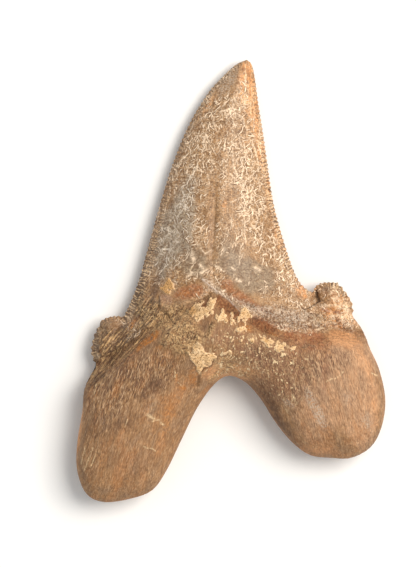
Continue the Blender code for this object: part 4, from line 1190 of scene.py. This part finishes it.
def fossilMaterial():
    material = bpy.data.materials.new("fossilEnamelAndBone")
    material.use_nodes = True
    tree = material.node_tree
    tree.nodes.clear()
    place = addNode(tree, "TexCoord", output="Object")
    coords = {"place": addNode(tree, "VectorMath", {0: place, 3: 1 / mm}, operation="SCALE")}
    for name in ways:
        coords[name] = addNode(tree, "Attribute", output="Vector", attribute_name=name)
    # every mask, noise and pattern by its name, for the coats and the bump
    part = {name: addNode(tree, "Attribute", output="Fac", attribute_name=name) for name in masks}
    part.update(noiseTones(tree, coords))
    part["bars"] = edgeBars(tree, part, coords["ribWay"])
    part.update(scratchFields(tree, part, coords["place"]))
    part.update(mixedRegions(tree, part))

    enamel = laidOver(tree, part, finish["enamel"], enamelCoats)
    bone = laidOver(tree, part, finish["bone"], boneCoats)
    colour = addNode(tree, "Mix", {0: part["root"], 6: enamel, 7: bone}, 2, data_type="RGBA")
    colour = laidOver(tree, part, colour, stainCoats)
    dull = addNode(tree, "Math", {0: part["crust"], 1: part["sand"]}, operation="MAXIMUM")
    dull = addNode(tree, "Math", {0: dull, 1: part["root"]}, operation="MAXIMUM")
    rough = addNode(tree, "MapRange", {0: dull, 3: finish["enamelRoughness"], 4: finish["rootRoughness"]})
    rough = addNode(tree, "Math", {0: part["rust"], 1: -finish["rustPolish"], 2: rough},
                    operation="MULTIPLY_ADD")
    shader = addNode(tree, "BsdfPrincipled", {
        "Base Color": colour, "Roughness": rough, "Normal": bumpOf(tree, part), "IOR": finish["ior"],
        "Specular IOR Level": finish["specular"]})
    addNode(tree, "OutputMaterial", {"Surface": shader})
    return material


tooth.data.materials.append(fossilMaterial())
print("material made")

studio = {
    "floor": "#fbfaf8",
    "key": 7.4,
    "keyPlace": (0.44, 0.19, 0.73),
    "keySize": 0.55,
    "keyTint": (1.0, 0.955, 0.90),
    "ambient": 0.52,
    "ambientTint": (0.96, 0.985, 1.0),
    "cameraHeight": 0.80,
    "cameraOver": (-4.05, -0.63),  # mm, the middle of the view
    "viewHeight": 102.24,          # mm, the view's long side at the height of the tooth's edges
    "edgeLevel": 3.5,              # mm above the floor
    "whiteSeen": 0.97,             # how bright the camera sees the world behind the floor
    "floorSize": 3.0,              # m
}


def makeFloor():
    floor = bpy.data.meshes.new("floor")
    half = studio["floorSize"] / 2
    corners = [(-half, -half, 0), (half, -half, 0), (half, half, 0), (-half, half, 0)]
    floor.from_pydata(corners, [], [(0, 1, 2, 3)])
    floorObject = bpy.data.objects.new("floor", floor)
    floorObject.location.z = -0.05 * mm
    bpy.context.scene.collection.objects.link(floorObject)
    paper = bpy.data.materials.new("whitePaper")
    paper.use_nodes = True
    shader = paper.node_tree.nodes["Principled BSDF"]
    shader.inputs["Base Color"].default_value = hexColour(studio["floor"])
    shader.inputs["Roughness"].default_value = 0.9
    floor.materials.append(paper)


def makeLights():
    lamp = bpy.data.lights.new("softbox", "AREA")
    lamp.size, lamp.energy, lamp.color = studio["keySize"], studio["key"], studio["keyTint"]
    lampObject = bpy.data.objects.new("softbox", lamp)
    lampObject.location = studio["keyPlace"]
    lampObject.rotation_euler = (-Vector(studio["keyPlace"])).to_track_quat("-Z", "Y").to_euler()
    bpy.context.scene.collection.objects.link(lampObject)
    world = bpy.data.worlds.new("studio")
    world.use_nodes = True
    tree = world.node_tree
    tree.nodes.clear()
    seen = addNode(tree, "LightPath", output="Is Camera Ray")
    strength = addNode(tree, "MapRange", {0: seen, 3: studio["ambient"], 4: studio["whiteSeen"]})
    glow = addNode(tree, "Background", {"Color": (*studio["ambientTint"], 1), "Strength": strength})
    addNode(tree, "OutputWorld", {"Surface": glow})
    bpy.context.scene.world = world
    bpy.context.scene.view_settings.view_transform = "Standard"


def makeCamera():
    lens = bpy.data.cameras.new("camera")
    rise = studio["cameraHeight"] - studio["edgeLevel"] * mm
    lens.sensor_width = 36
    lens.lens = lens.sensor_width * rise / (studio["viewHeight"] * mm)
    lens.clip_start, lens.clip_end = 0.01, 10
    camera = bpy.data.objects.new("camera", lens)
    x, y = studio["cameraOver"]
    camera.location = (x * mm, y * mm, studio["cameraHeight"])
    bpy.context.scene.collection.objects.link(camera)
    bpy.context.scene.camera = camera


makeFloor()
makeLights()
makeCamera()
print("studio ready")
